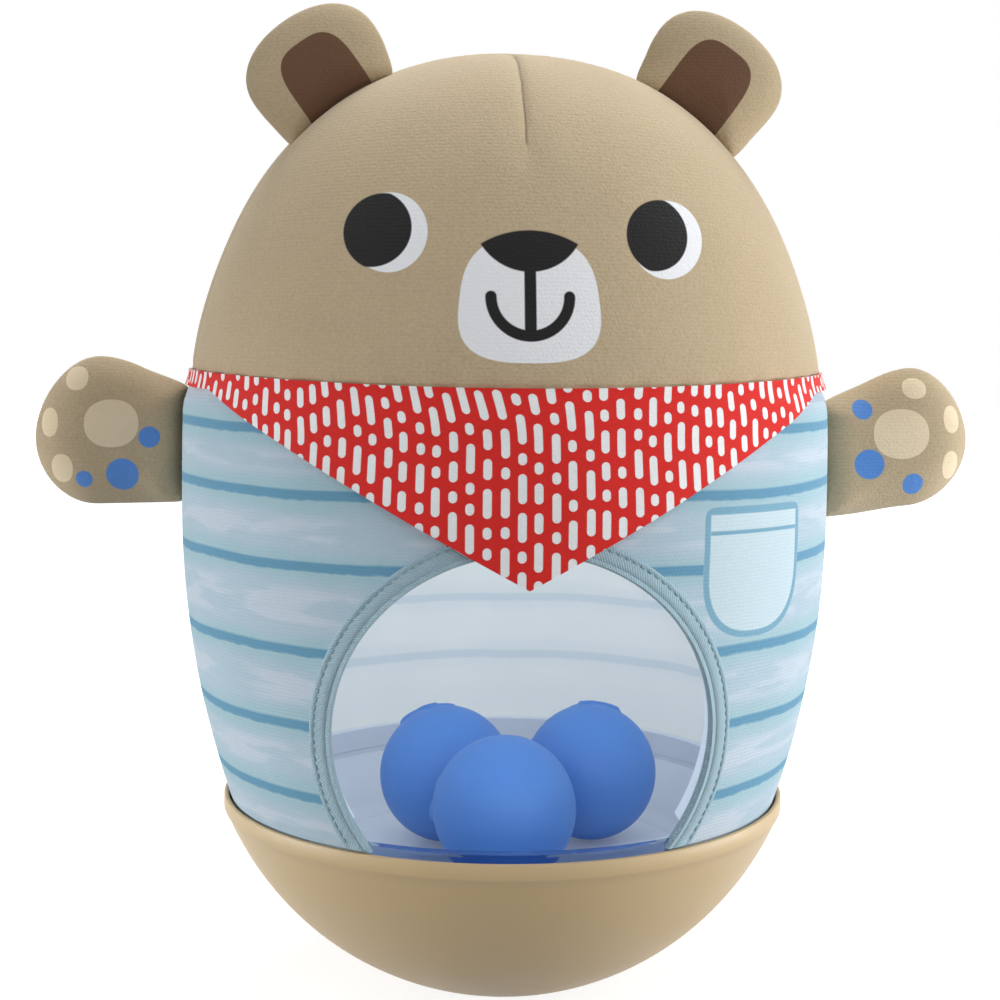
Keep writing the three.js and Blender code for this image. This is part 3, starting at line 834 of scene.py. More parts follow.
class Finish:
    """One material as it is wired: a principled shader and the numbers that feed it."""

    def __init__(self, name: str, roughness: float, **sockets: object) -> None:
        """Starts a material.

        Args:
            name: the material's name.
            roughness: its plain roughness.
            sockets: plain values of other sockets, with _ for a space.
        """
        self.material = bpy.data.materials.new(name)
        self.material.use_nodes = True
        self.tree = self.material.node_tree
        self.shader = self.tree.nodes["Principled BSDF"]
        for word, value in {"Roughness": roughness, **sockets}.items():
            self.set(word.replace("_", " "), value)
        place = add(self.tree, "ShaderNodeTexCoord").outputs["Object"]
        self.vector = scaled(self.tree, place, 1 / MM)
        split = add(self.tree, "ShaderNodeSeparateXYZ", Vector=self.vector)
        self.x, self.y, self.z = (Wire(self.tree, socket) for socket in split.outputs)

    def around(self) -> Wire:
        """Distance round the body from its front, positive towards the bear's left."""
        return self.x.do("ARCTAN2", self.y * -1.0) * FORM.body_widest

    def group(self, name: str, **inputs: "Wire | float") -> dict[str, Wire]:
        """Places a shared group.

        Args:
            name: the group's name.
            inputs: its numbers, with _ for a space. A Vector input gets the place in millimetres.

        Returns:
            Its outputs by name.
        """
        node = self.tree.nodes.new("ShaderNodeGroup")
        node.node_tree = Group.get(name)
        if "Vector" in node.inputs:
            self.tree.links.new(self.vector, node.inputs["Vector"])
        for word, value in inputs.items():
            feed(self.tree, value, node.inputs[word.replace("_", " ")])
        return {socket.name: Wire(self.tree, socket) for socket in node.outputs}

    def oval(
        self, middle: Point, half: Point, turn: float = 0.0, power: float = 2.0, x: Wire | None = None
    ) -> Wire:
        """Printed oval seen from the front.

        Args:
            middle: X and Z of its middle.
            half: its half width and half height.
            turn: degrees, anticlockwise.
            power: 2 for an oval, more for a rounded box.
            x: another sideways measure.

        Returns:
            Its mask.
        """
        sizes = dict(zip(("Middle_X", "Middle_Z", "Half_X", "Half_Z"), (*middle, *half)))
        sizes.update(Turn=math.radians(turn), Power=power)
        return self.group("print_oval", X=x or self.x, Z=self.z, **sizes)["Mask"]

    def lens(self, middle: Point, half: Point, turn: float = 0.0) -> Wire:
        """Printed shape between two equal arcs, its points up and down before it is turned.

        Args:
            middle: X and Z of its middle.
            half: its half width and half height.
            turn: degrees, anticlockwise.

        Returns:
            Its mask.
        """
        radius = (half[0] ** 2 + half[1] ** 2) / (2 * half[0])
        angle = math.radians(turn)
        discs = []
        for shift in (radius - half[0], half[0] - radius):
            place = (middle[0] + shift * math.cos(angle), middle[1] + shift * math.sin(angle))
            discs.append((place, radius))
        return self.overlap(discs, 0.16)

    def overlap(self, discs: Sequence[tuple[Point, float]], soft: float) -> Wire:
        """Where all of some printed discs lie over each other.

        Args:
            discs: middle and radius of each.
            soft: half the width of the edge.

        Returns:
            The mask.
        """
        mask = None
        for (x, z), radius in discs:
            disc = (self.x - x).reach(self.z - z).below(radius, soft)
            mask = disc if mask is None else mask * disc
        return mask

    def mix(self, mask: Wire, under: "Rgba | Socket", over: Rgba) -> Socket:
        """Lays one colour over another.

        Args:
            mask: where the upper colour shows.
            under: the lower colour, or an earlier mix.
            over: the upper colour.

        Returns:
            The mixed colour.
        """
        node = self.tree.nodes.new("ShaderNodeMix")
        node.data_type = "RGBA"
        feed(self.tree, mask, node.inputs["Factor"])
        lower, upper = node.inputs[6:8]
        feed(self.tree, under, lower)
        feed(self.tree, over, upper)
        return node.outputs[2]

    def tone(self, colour: "Rgba | Socket", shade: Wire, depth: float) -> Socket:
        """Darkens and lightens a colour to a depth, by a shade about one half."""
        value = (shade - 0.5) * depth + 1.0
        return add(self.tree, "ShaderNodeHueSaturation", Value=value, Color=colour).outputs[0]

    def set(self, word: str, value: "Wire | Socket | Rgba | float") -> None:
        """Links or sets an input of the shader."""
        feed(self.tree, value, self.shader.inputs[word])

    def relief(self, height: Wire, depth: float, strength: float = 1.0) -> None:
        """Links a bump of a height, its depth in millimetres for a height of 1."""
        node = add(self.tree, "ShaderNodeBump", Strength=strength, Distance=depth * MM, Height=height)
        self.set("Normal", node.outputs[0])


@dataclass(frozen=True)
class Moulded:
    """Moulded plastic, cast metal or loose filling."""

    name: str
    colour: str
    roughness: float
    metallic: float = 0.0
    coarse: float = 1.0
    depth: float = 0.03
    blotch: float = 0.08
    # Emission strength: above 0 the part glows as painted light, though it is no lamp.
    light: float = 0.0

    def make(self) -> Material:
        """Wires the material."""
        work = Finish(self.name, self.roughness, Metallic=self.metallic, Emission_Strength=self.light)
        found = work.group("moulded_grain", Coarse=self.coarse)
        colour = work.tone(ink(self.colour), found["Blotch"], self.blotch)
        work.set("Base Color", colour)
        work.set("Emission Color", colour)
        work.set("Roughness", (found["Blotch"] - 0.5) * 0.18 + self.roughness)
        work.relief(found["Height"], self.depth)
        return work.material


@dataclass(frozen=True)
class ClearSheet:
    """Clear or tinted plastic that lets lamp light through."""

    name: str
    tint: str
    roughness: float
    bend: float
    passed: float

    def make(self) -> Material:
        """Wires the material. A share of each lamp's light passes, so that what is inside is lit."""
        work = Finish(self.name, self.roughness, Transmission_Weight=1.0, IOR=self.bend)
        work.set("Base Color", ink(self.tint))
        found = work.group("moulded_grain", Coarse=0.4)
        work.set("Roughness", (found["Blotch"] - 0.5) * 0.03 + self.roughness)
        path = work.tree.nodes.new("ShaderNodeLightPath")
        seen = Wire(work.tree, path.outputs["Is Shadow Ray"]) * -self.passed + 1.0
        work.set("Alpha", seen)
        return work.material


@dataclass(frozen=True)
class TanKnit:
    """Brushed tan knit under every print on it."""

    name: str
    colour: str = "bba98b"
    dark: str = "1d1d1e"
    white: str = "eceef2"
    brown: str = "674a38"
    cream: str = "e6d5b6"
    blue: str = "5d90d8"

    def start(self) -> tuple[Finish, Socket, Wire]:
        """Starts the knit.

        Returns:
            The finish, the plain cloth's colour and its relief.
        """
        work = Finish(self.name, 0.93, Sheen_Weight=0.18, Sheen_Roughness=0.4, Specular_IOR_Level=0.25)
        found = work.group("cloth_grain", Along=work.x, Up=work.z, Loop=0.75, Row=0.82, Rows=0.34, Fuzz=1.6)
        return work, work.tone(ink(self.colour), found["Shade"], 0.2), found["Height"]

    def end(self, work: Finish, colour: Socket, height: Wire) -> Material:
        """Links colour and relief, and gives the material.

        Args:
            work: the finish.
            colour: the cloth with its prints.
            height: its relief.

        Returns:
            The material.
        """
        work.set("Base Color", colour)
        work.relief(height, 0.16, 0.85)
        return work.material


@dataclass(frozen=True)
class FaceKnit(TanKnit):
    """Tan knit of the head with its printed face, dart and crown seam."""

    left_eye: tuple[Point, Point, float] = ((27.4, 175.4), (6.8, 7.9), -16.0)
    left_white: tuple[Point, Point, float] = ((29.6, 174.6), (7.9, 8.6), -30.0)
    right_eye: tuple[Point, Point, float] = ((-30.5, 176.0), (7.0, 8.15), -18.0)
    right_white: tuple[Point, Point, float] = ((-28.2, 175.5), (8.0, 8.5), 0.0)
    muzzle: tuple[Point, Point] = ((0.2, 161.5), (14.1, 12.7))
    muzzle_taper: float = 0.008
    nose_top: tuple[Point, float] = ((0.4, 156.9), 18.8)
    nose_bottom: tuple[Point, float] = ((0.3, 178.5), 11.4)
    smile: tuple[Point, float] = ((0.3, 162.1), 7.9)
    stroke: float = 1.15
    mouth_top: float = 168.5
    # Darker tan of the seam lines: partly the stitch line, partly painted shade in the crease.
    seam: str = "5d5140"

    def make(self) -> Material:
        """Wires the material."""
        work, colour, height = self.start()
        front = work.y.below(-5.0, 0.5)
        white = ink(self.white)
        dark = ink(self.dark)
        for ball, pupil in ((self.left_white, self.left_eye), (self.right_white, self.right_eye)):
            colour = work.mix(work.oval(*ball) * front, colour, white)
            colour = work.mix(work.lens(*pupil) * front, colour, dark)
        (x, z), half = self.muzzle
        across = (work.x - x) / ((work.z - z) * -self.muzzle_taper + 1.0)
        colour = work.mix(work.oval((0.0, z), half, power=2.9, x=across) * front, colour, white)
        nose = work.overlap((self.nose_top, self.nose_bottom), 0.18)
        colour = work.mix(nose * front, colour, dark)
        colour = work.mix(self.mouth(work) * front, colour, dark)
        seams = self.seams(work)
        # Seam lines darkened: a dark stitch line, and painted shade in the crease of the seam.
        colour = work.mix(seams.above(0.72, 0.22) * 0.55, colour, ink(self.seam))
        return self.end(work, colour, height - seams * 1.6)

    def mouth(self, work: Finish) -> Wire:
        """Upright line, smile and the smile's round ends.

        Args:
            work: the finish.

        Returns:
            The mask.
        """
        (x, z), radius = self.smile
        across = work.x - x
        upward = work.z - z
        arc = (across.reach(upward) - radius).apart().below(self.stroke, 0.16) * upward.below(0.0, 0.05)
        ends = (across.apart() - radius).reach(upward).below(self.stroke, 0.16)
        line = across.apart().below(self.stroke + 0.05, 0.16)
        line = line * work.z.below(self.mouth_top, 0.1) * work.z.above(z - radius, 0.1)
        return arc.most(ends).most(line)

    def seams(self, work: Finish) -> Wire:
        """Dart down the forehead and seam from ear to ear, as lines that fade sideways.

        Args:
            work: the finish.

        Returns:
            The mask.
        """
        wander = (grainy(work.tree, work.vector, 0.12, 1) - 0.5) * 0.5
        dart = (work.x - FORM.dart_side + wander).apart().below(0.3, 0.3)
        dart = dart * work.y.below(-FORM.ear_forward, 0.5) * work.z.above(FORM.dart_end, 2.2)
        crown = (work.y + FORM.ear_forward + wander * 0.4).apart().below(0.3, 0.3)
        return dart.most(crown)


@dataclass(frozen=True)
class EarKnit(TanKnit):
    """Tan knit of an ear with a brown inside on its front."""

    side: Side = Side.LEFT
    seat: Point = (0.0, 0.0)
    shift: float = 0.0
    lean: float = 0.0
    half: Point = (8.5, 11.4)
    middle: float = 4.2
    power: float = 3.2

    def make(self) -> Material:
        """Wires the material."""
        work, colour, height = self.start()
        across = (work.x - self.shift) * float(self.side.value) - self.seat[0]
        upward = work.z - self.seat[1]
        along = across * math.cos(self.lean) - upward * math.sin(self.lean)
        away = across * math.sin(self.lean) + upward * math.cos(self.lean)
        first = (along / self.half[0]).apart().do("POWER", self.power)
        second = ((away - self.middle) / self.half[1]).most(0.0).do("POWER", self.power)
        patch = (first + second).below(1.0, 0.03) * work.y.below(-FORM.ear_forward - 1.0, 0.3)
        return self.end(work, work.mix(patch * 0.97, colour, ink(self.brown)), height)


@dataclass(frozen=True)
class PawKnit(TanKnit):
    """Tan knit of an arm with cream pads and plain blue spots printed on its front."""

    side: Side = Side.LEFT
    left_pads: Sequence[tuple[Point, Point]] = (
        ((99.6, 142.8), (3.0, 2.5)),
        ((108.9, 135.3), (2.3, 3.3)),
        ((108.7, 124.1), (2.3, 3.5)),
        ((95.8, 131.8), (6.8, 6.0)),
    )
    right_pads: Sequence[tuple[Point, Point]] = (
        ((-101.8, 144.1), (2.8, 2.8)),
        ((-108.0, 133.7), (2.2, 3.4)),
        ((-104.9, 122.9), (2.7, 3.4)),
        ((-93.2, 133.6), (6.3, 5.6)),
    )
    left_spots: Sequence[tuple[Point, float]] = (
        ((88.0, 124.4), 3.6),
        ((99.0, 119.6), 2.6),
        ((86.6, 137.6), 2.4),
    )
    right_spots: Sequence[tuple[Point, float]] = (
        ((-90.6, 121.6), 3.8),
        ((-84.4, 130.4), 2.5),
        ((-99.6, 120.4), 2.0),
    )

    def make(self) -> Material:
        """Wires the material."""
        work, colour, height = self.start()
        front = work.y.below(-0.8, 0.3)
        left = self.side is Side.LEFT
        for middle, half in self.left_pads if left else self.right_pads:
            colour = work.mix(work.oval(middle, half, power=2.2) * front, colour, ink(self.cream))
        for middle, radius in self.left_spots if left else self.right_spots:
            colour = work.mix(work.oval(middle, (radius, radius)) * front, colour, ink(self.blue))
        return self.end(work, colour, height)


@dataclass(frozen=True)
class StripedKnit:
    """Pale blue knit with brushed stripes and a printed pocket on the bear's left."""

    name: str = "striped_knit_cloth"
    base: str = "aec4d2"
    line: str = "6497b4"
    wash: str = "9dc0ca"
    streak: str = "c3cfdb"
    pocket_line: str = "7aa7be"
    pocket_fill: str = "c3d7e0"
    pocket_middle: float = 54.3
    pocket_half: float = 16.2
    pocket_top: float = 119.4
    pocket_turn: float = 106.0
    pocket_drop: float = 14.4

    def make(self) -> Material:
        """Wires the material."""
        work = Finish(self.name, 0.92, Sheen_Weight=0.12, Sheen_Roughness=0.4, Specular_IOR_Level=0.25)
        around = work.around()
        grain = work.group("cloth_grain", Along=around, Up=work.z, Loop=0.8, Row=0.78, Rows=0.6, Fuzz=0.7)
        stripes = work.group("brushed_stripes", Along=around, Up=work.z)
        colour = work.mix(stripes["Wash"] * 0.75, ink(self.base), ink(self.wash))
        colour = work.mix(stripes["Streak"] * 0.8, colour, ink(self.streak))
        colour = work.mix(stripes["Line"], colour, ink(self.line))
        fill, outline = self.pocket(work, around)
        colour = work.mix(fill, colour, ink(self.pocket_fill))
        colour = work.mix(outline, colour, ink(self.pocket_line))
        work.set("Base Color", work.tone(colour, grain["Shade"], 0.13))
        work.relief(grain["Height"], 0.14, 0.8)
        return work.material

    def pocket(self, work: Finish, around: Wire) -> tuple[Wire, Wire]:
        """Printed pocket.

        Args:
            work: the finish.
            around: distance round the body.

        Returns:
            Masks of its fill and of its lines.
        """
        across = ((around - self.pocket_middle) / self.pocket_half).apart()
        upright = work.z + (around - self.pocket_middle) * 0.012
        down = ((upright - self.pocket_turn) / -self.pocket_drop).most(0.0)
        rise = ((upright - self.pocket_turn) / (self.pocket_top - self.pocket_turn)).most(0.0)
        sides = across.do("POWER", 2.5) + down.do("POWER", 2.5)
        corner = across.do("POWER", 14.0) + rise.do("POWER", 14.0)
        outer = sides.below(1.0, 0.03) * corner.below(1.0, 0.1)
        inner = sides.below(0.775, 0.03) * upright.below(self.pocket_top - 1.6, 0.15)
        hem = (upright - (self.pocket_top - 5.4)).apart().below(0.42, 0.15) * inner
        return outer, (outer - inner).most(hem)


@dataclass(frozen=True)
class LinerSheet:
    """Pale liner with painted show-through: the stripes of the cover behind it, painted on faintly."""

    name: str
    glow: float
    base: str = "e6e8e6"
    line: str = "b6c7d4"
    lift: float = 8.5

    def make(self) -> Material:
        """Wires the material. It glows a little: painted light that stands in for daylight let in through
        the thin cloth behind it.
        """
        work = Finish(self.name, 0.6, Emission_Strength=self.glow)
        around = work.around()
        stripes = work.group("brushed_stripes", Along=around, Up=work.z - self.lift)
        found = work.group("moulded_grain", Coarse=0.7)
        colour = work.mix(stripes["Line"] * 0.36 + stripes["Wash"] * 0.14, ink(self.base), ink(self.line))
        colour = work.tone(colour, found["Blotch"], 0.06)
        work.set("Base Color", colour)
        work.set("Emission Color", colour)
        return work.material


@dataclass(frozen=True)
class BindingTape:
    """Twill tape round the window."""

    name: str = "binding_twill"
    colour: str = "a9c3cf"
    dark: str = "86a5b3"

    def make(self) -> Material:
        """Wires the material."""
        work = Finish(self.name, 0.92, Sheen_Weight=0.15, Sheen_Roughness=0.4, Specular_IOR_Level=0.25)
        upward = work.z - FORM.window_height
        out = work.x.reach(upward)
        along = work.x.do("ARCTAN2", upward) * (FORM.window_radius + 1.5)
        twill = ((along + out * 0.8) / 0.62).wave() * 0.5 + 0.5
        grain = work.group("cloth_grain", Along=along, Up=out, Loop=0.6, Row=0.5, Rows=0.6, Fuzz=0.8)
        colour = work.mix(twill * 0.5, ink(self.colour), ink(self.dark))
        work.set("Base Color", work.tone(colour, grain["Shade"], 0.22))
        work.relief(twill * 0.7 + grain["Height"] * 0.4, 0.14)
        return work.material


@dataclass(frozen=True)
class DashedCotton:
    """Red cotton with white upright dashes in an uneven layout."""

    name: str = "dashed_cotton"
    red: str = "d82a25"
    white: str = "eef0f2"
    pitch: float = 3.3
    cell: float = 11.6
    gap: float = 0.86
    half: float = 0.84
    gather: Point = (138.0, 9.0)
    fan: Point = (12.0, 22.0)
    spread: float = 3.0
    steps: Point = (0.36, 0.64)
    part: float = 0.35
    longer: float = 0.15

    def make(self) -> Material:
        """Wires the material."""
        work = Finish(self.name, 0.88, Sheen_Weight=0.08, Specular_IOR_Level=0.25)
        around = work.around()
        pull = work.z.above(*self.gather)
        fan = ((around - self.fan[0]) / -self.fan[1]).least(1.0).most(-0.6)
        along = around + pull * pull * fan * self.spread
        column = (along / self.pitch).floor()
        start = self.chance(work, column, column * 0.37 + 3.1)
        across = along - (column + 0.5) * self.pitch + (start - 0.5) * 0.35
        climb = work.z + start * (3 * self.cell)
        row = (climb / self.cell).floor()
        up = climb - row * self.cell
        chance = self.chance(work, column, row)
        few, many = (chance.above(step, 0.01) * self.longer for step in self.steps)
        part = (few + many + self.part) * self.cell
        rim = self.gap + self.half
        first = self.dash(across, (up * -1.0 + rim).most(up - part + rim))
        second = self.dash(across, (part - up + rim).most(up - (self.cell - rim)))
        grain = work.group("cloth_grain", Along=around, Up=work.z, Loop=0.5, Row=0.42, Rows=0.8, Fuzz=0.5)
        colour = work.mix(first.most(second), ink(self.red), ink(self.white))
        work.set("Base Color", work.tone(colour, grain["Shade"], 0.16))
        work.relief(grain["Height"], 0.09, 0.8)
        return work.material

    def chance(self, work: Finish, column: Wire, row: Wire) -> Wire:
        """Number from 0 to 1 that is the same each time for a column and a row.

        Args:
            work: the finish.
            column: the column's number.
            row: the row's number.

        Returns:
            The number.
        """
        cell = pair(work.tree, column + 0.5, row + 0.5)
        node = add(work.tree, "ShaderNodeTexWhiteNoise", Vector=cell)
        node.noise_dimensions = "2D"
        return Wire(work.tree, node.outputs["Value"])

    def dash(self, across: Wire, past: Wire) -> Wire:
        """Round-ended dash from its distance sideways and past its ends."""
        return across.reach(past.most(0.0)).below(self.half, 0.09)


@dataclass(frozen=True)
class Thread:
    """Sewing thread with a twist."""

    name: str
    colour: str

    def make(self) -> Material:
        """Wires the material."""
        work = Finish(self.name, 0.8, Sheen_Weight=0.2, Specular_IOR_Level=0.3)
        twist = ((work.x + work.z) / 0.32).wave() * 0.5 + 0.5
        work.set("Base Color", work.tone(ink(self.colour), twist, 0.35))
        work.relief(twist, 0.05)
        return work.material


def fit(piece: Object, body: str, slot: Slot, material: Material, *nodes: str) -> Object:
    """Dresses a new piece and says what it rides on and stands for.

    Args:
        piece: the finished mesh.
        body: the body that it moves with, or nothing where it lies between two.
        slot: the record's material slot; not used.
        material: its finish.
        nodes: the solids that it replaces.

    Returns:
        The same piece.
    """
    piece.data.materials.clear()
    piece.data.materials.append(material)
    if nodes:
        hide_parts(*nodes)
    if body:
        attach(piece, body)
    LOG.info("%s: %d faces on %s", piece.name, len(piece.data.polygons), body or "two bodies")
    return piece


def dress(frame: dict, names: Sequence[str], material: Material) -> None:
    """Gives solids that stay as they are a better finish.

    Args:
        names: the solids.
        material: their finish.
    """
    for name in names:
        for slot in frame["nodes"][name].material_slots:
            slot.material = material
        LOG.info("%s: kept, with %s", name, material.name)


@dataclass
class RockerBase:
    """Bowl, its weight and screws, and the dish that the balls lie in."""

    foot: float = 9.0
    wall: float = 2.4
    lip: float = 4.0
    lip_outer: float = 66.747
    lip_inner: float = 65.547
    well_circle: float = 39.668
    well_radius: float = 3.0
    post_radius: float = 4.5
    well_top: float = 21.7
    shelf: float = 18.7
    floor_radius: float = 46.0
    floor: float = 29.0
    underside: float = 27.2
    dish_edge: float = 43.6
    dish_outer: float = 59.347
    dish_wall: float = 1.8
    dish_top: float = 49.5
    band_bottom: float = 43.8
    lip_front: float = 47.2
    sill_inner: float = 64.0
    sill_outer: float = 64.7
    sill_top: float = 49.0
    sill_half: float = 31.6

    def bowl(self) -> Object:
        """Thin-walled bowl with a rolled lip and three screw wells."""
        inner = FORM.bowl_radius - self.wall
        brim = FORM.rim - self.lip
        start = math.asin(self.foot / FORM.bowl_radius)
        stop = self.brim_angle(FORM.bowl_radius)
        profile = [(0.0, 0.0), (self.foot - 0.6, 0.0), *self.arc(FORM.bowl_radius, start, stop, 40)]
        out, back = self.lip_outer, self.lip_inner
        top = FORM.rim
        profile += [(out - 0.25, brim + 0.3), (out, brim + 0.9), (out, top - 0.6), (out - 0.18, top - 0.18)]
        profile += [(out - 0.6, top), (back + 0.3, top - 0.12), (back, top - 0.5), (back, brim)]
        profile += self.arc(inner, self.brim_angle(inner), 0.0, 24)
        piece = Bench.lathe("bowl_shell", profile, 160)
        filled = [*self.arc(inner + 1.0, 0.0, self.brim_angle(inner + 1.0), 24), (0.0, brim)]
        core = Bench.lathe("core", filled, 96)
        posts = self.bars("posts", self.post_radius, 4.0, self.well_top)
        Bench.cut(posts, core, "INTERSECT")
        Bench.cut(piece, posts, "UNION")
        Bench.cut(piece, self.bars("pockets", self.well_radius, -2.0, self.shelf))
        return Bench.tidy(piece, 30)

    def brim_angle(self, radius: float) -> float:
        """Angle from straight down at which a ball of a radius reaches the foot of the lip."""
        return math.acos((FORM.bowl_centre - FORM.rim + self.lip) / radius)

    def arc(self, radius: float, start: float, stop: float, steps: int) -> list[Point]:
        """Points on the bowl's circle of a radius between two angles from straight down."""
        angles = [start + (stop - start) * step / steps for step in range(steps + 1)]
        return [(radius * math.sin(a), FORM.bowl_centre - radius * math.cos(a)) for a in angles]

    def bars(self, name: str, radius: float, bottom: float, top: float) -> Object:
        """Three upright bars on the circle of the screw wells.

        Args:
            name: the piece's name.
            radius: each bar's radius.
            bottom: lower height.
            top: upper height.

        Returns:
            The joined bars.
        """
        middle = Vector((0, 0, (bottom + top) / 2))
        first = Bench.drill(name, radius, middle, Vector((0, 0, 1)), top - bottom)
        Bench.tidy(first)
        turns = [Matrix.Rotation(math.radians(120 * i), 4, "Z") for i in range(3)]
        out = Matrix.Translation(Vector((0, self.well_circle, 0)) * MM)
        return Bench.copies(name, first, [turn @ out for turn in turns])

    def dish(self) -> Object:
        """Dish with a flat floor and a sloped side."""
        out = self.dish_outer
        edge = out - self.dish_wall
        shares = [i / 8 for i in range(9)]
        slope = [(self.floor_radius + 4.0 * ease(s) * s, self.floor + 2.6 * s**2) for s in shares]
        profile = [(0.0, self.floor), *slope, (edge - 1.0, 41.0), (edge, 42.4)]
        profile += [(edge, self.dish_edge), (out, self.dish_edge), (out, 41.4)]
        profile += [(self.floor_radius + 1.0, self.underside + 0.1), (0.0, self.underside)]
        return Bench.lathe("ball_dish", profile, 128)

    def band(self, name: str, radii: Point, top: float, edge: float, steps: int, half: Half) -> Object:
        """Half of an upright ring above the dish.

        Args:
            name: the piece's name.
            radii: its inner and outer radius.
            top: its upper height.
            edge: size of its eased top edges.
            steps: steps round it.
            half: which half.

        Returns:
            The ring.
        """
        inner, outer = radii
        low = self.band_bottom
        profile = [(inner, low), (outer, low), (outer, top - edge), (outer - edge, top)]
        profile += [(inner + edge, top), (inner, top - edge), (inner, low)]
        return Bench.lathe(name, profile, steps, half)

    def lip_ring(self, half: Half) -> Object:
        """Half of the dish's lip, which shows above the bowl's rim.

        Args:
            half: which half.

        Returns:
            The half ring.
        """
        radii = (self.dish_outer - self.dish_wall, self.dish_outer)
        top = self.dish_top if half is Half.BACK else self.lip_front
        return self.band(f"dish_lip_{half.word}", radii, top, 0.4, 64, half)

    def sill(self) -> Object:
        """Tinted strip that closes the gap between the window and the bowl's rim."""
        radii = (self.sill_inner, self.sill_outer)
        piece = self.band("window_sill", radii, self.sill_top, 0.2, 128, Half.FRONT)
        with Bench.edit(piece):
            for way in (-1, 1):
                edge = (way * self.sill_half * MM, 0, 0)
                bpy.ops.mesh.select_all(action="SELECT")
                bpy.ops.mesh.bisect(plane_co=edge, plane_no=(way, 0, 0), clear_outer=True, use_fill=True)
        return Bench.tidy(piece, 40)

    def build(self, frame: dict) -> None:
        """Makes the base and dresses the solids that stay hidden in the toy.
        """
        tan = Moulded("tan_satin_plastic", "bea67d", 0.46, depth=0.05, blotch=0.07).make()
        fit(self.bowl(), "body", Slot.TAN_PLASTIC, tan, "rocker_bowl")
        # Painted light: the milky dish and back lip glow a little, lighting the balls around them.
        milk = Moulded("milky_dish_plastic", "c6cdd8", 0.35, depth=0.015, blotch=0.05, light=0.14).make()
        fit(self.dish(), "body", Slot.FROSTED_PLASTIC, milk, "ball_tray")
        fit(self.lip_ring(Half.BACK), "body", Slot.FROSTED_PLASTIC, milk)
        clear = ClearSheet("clear_lip_plastic", "fafcff", 0.04, 1.02, 0.9).make()
        fit(self.lip_ring(Half.FRONT), "body", Slot.FROSTED_PLASTIC, clear)
        tinted = ClearSheet("tinted_sill_plastic", "a4b3cc", 0.05, 1.02, 0.9).make()
        fit(self.sill(), "body", Slot.FROSTED_PLASTIC, tinted)
        dress(frame, ["hem_ring"], clear)
        screws = [f"{kind}_screw_{i}" for kind in ("retainer", "tray") for i in (1, 2, 3)]
        hidden = (
            (["counterweight"], Moulded("sand_cast_iron", "55575b", 0.68, 1.0, 0.7, 0.25, 0.5)),
            (screws, Moulded("zinc_plated_steel", "b3b6b9", 0.33, 1.0, 1.6, 0.02, 0.2)),
            (["weight_retainer"], Moulded("white_utility_plastic", "e3e7ea", 0.5, blotch=0.05)),
            # Painted light: the hidden neck plate glows to light the chamber inside the toy.
            (["neck_plate"], Moulded("white_plate_plastic", "e3e7ea", 0.5, blotch=0.05, light=0.55)),
            (["head_padding"], Moulded("loose_batting", "efece4", 1.0, 0.0, 0.5, 0.8, 0.12)),
        )
        for names, finish in hidden:
            dress(frame, names, finish.make())


def shell(name: str, half: Half, span: Point, grid: tuple[int, int], walls: Point, hole: float) -> Object:
    """Half of a wall that follows the body, the front half with a round hole for the window.

    Args:
        name: the piece's name.
        half: which half.
        span: its lowest and highest height.
        grid: rows up its side and steps round it.
        walls: how far its outside lies inside the cover's, and its thickness.
        hole: the hole's radius.

    Returns:
        The wall.
    """
    bottom, top = span
    rows, steps = grid
    heights = [bottom + (top - bottom) * i / rows for i in range(rows + 1)]
    outer = [(FORM.body(z) - walls[0], z) for z in heights]
    inner = [(radius - walls[1], z) for radius, z in reversed(outer)]
    piece = Bench.lathe(name, [*outer, *inner, outer[0]], steps, half)
    if half is Half.FRONT:
        depth = 100.0
        middle = Vector((0, -60.0, FORM.window_height))
        Bench.cut(piece, Bench.drill("hole", hole, middle, Vector((0, 1, 0)), depth))
    return piece


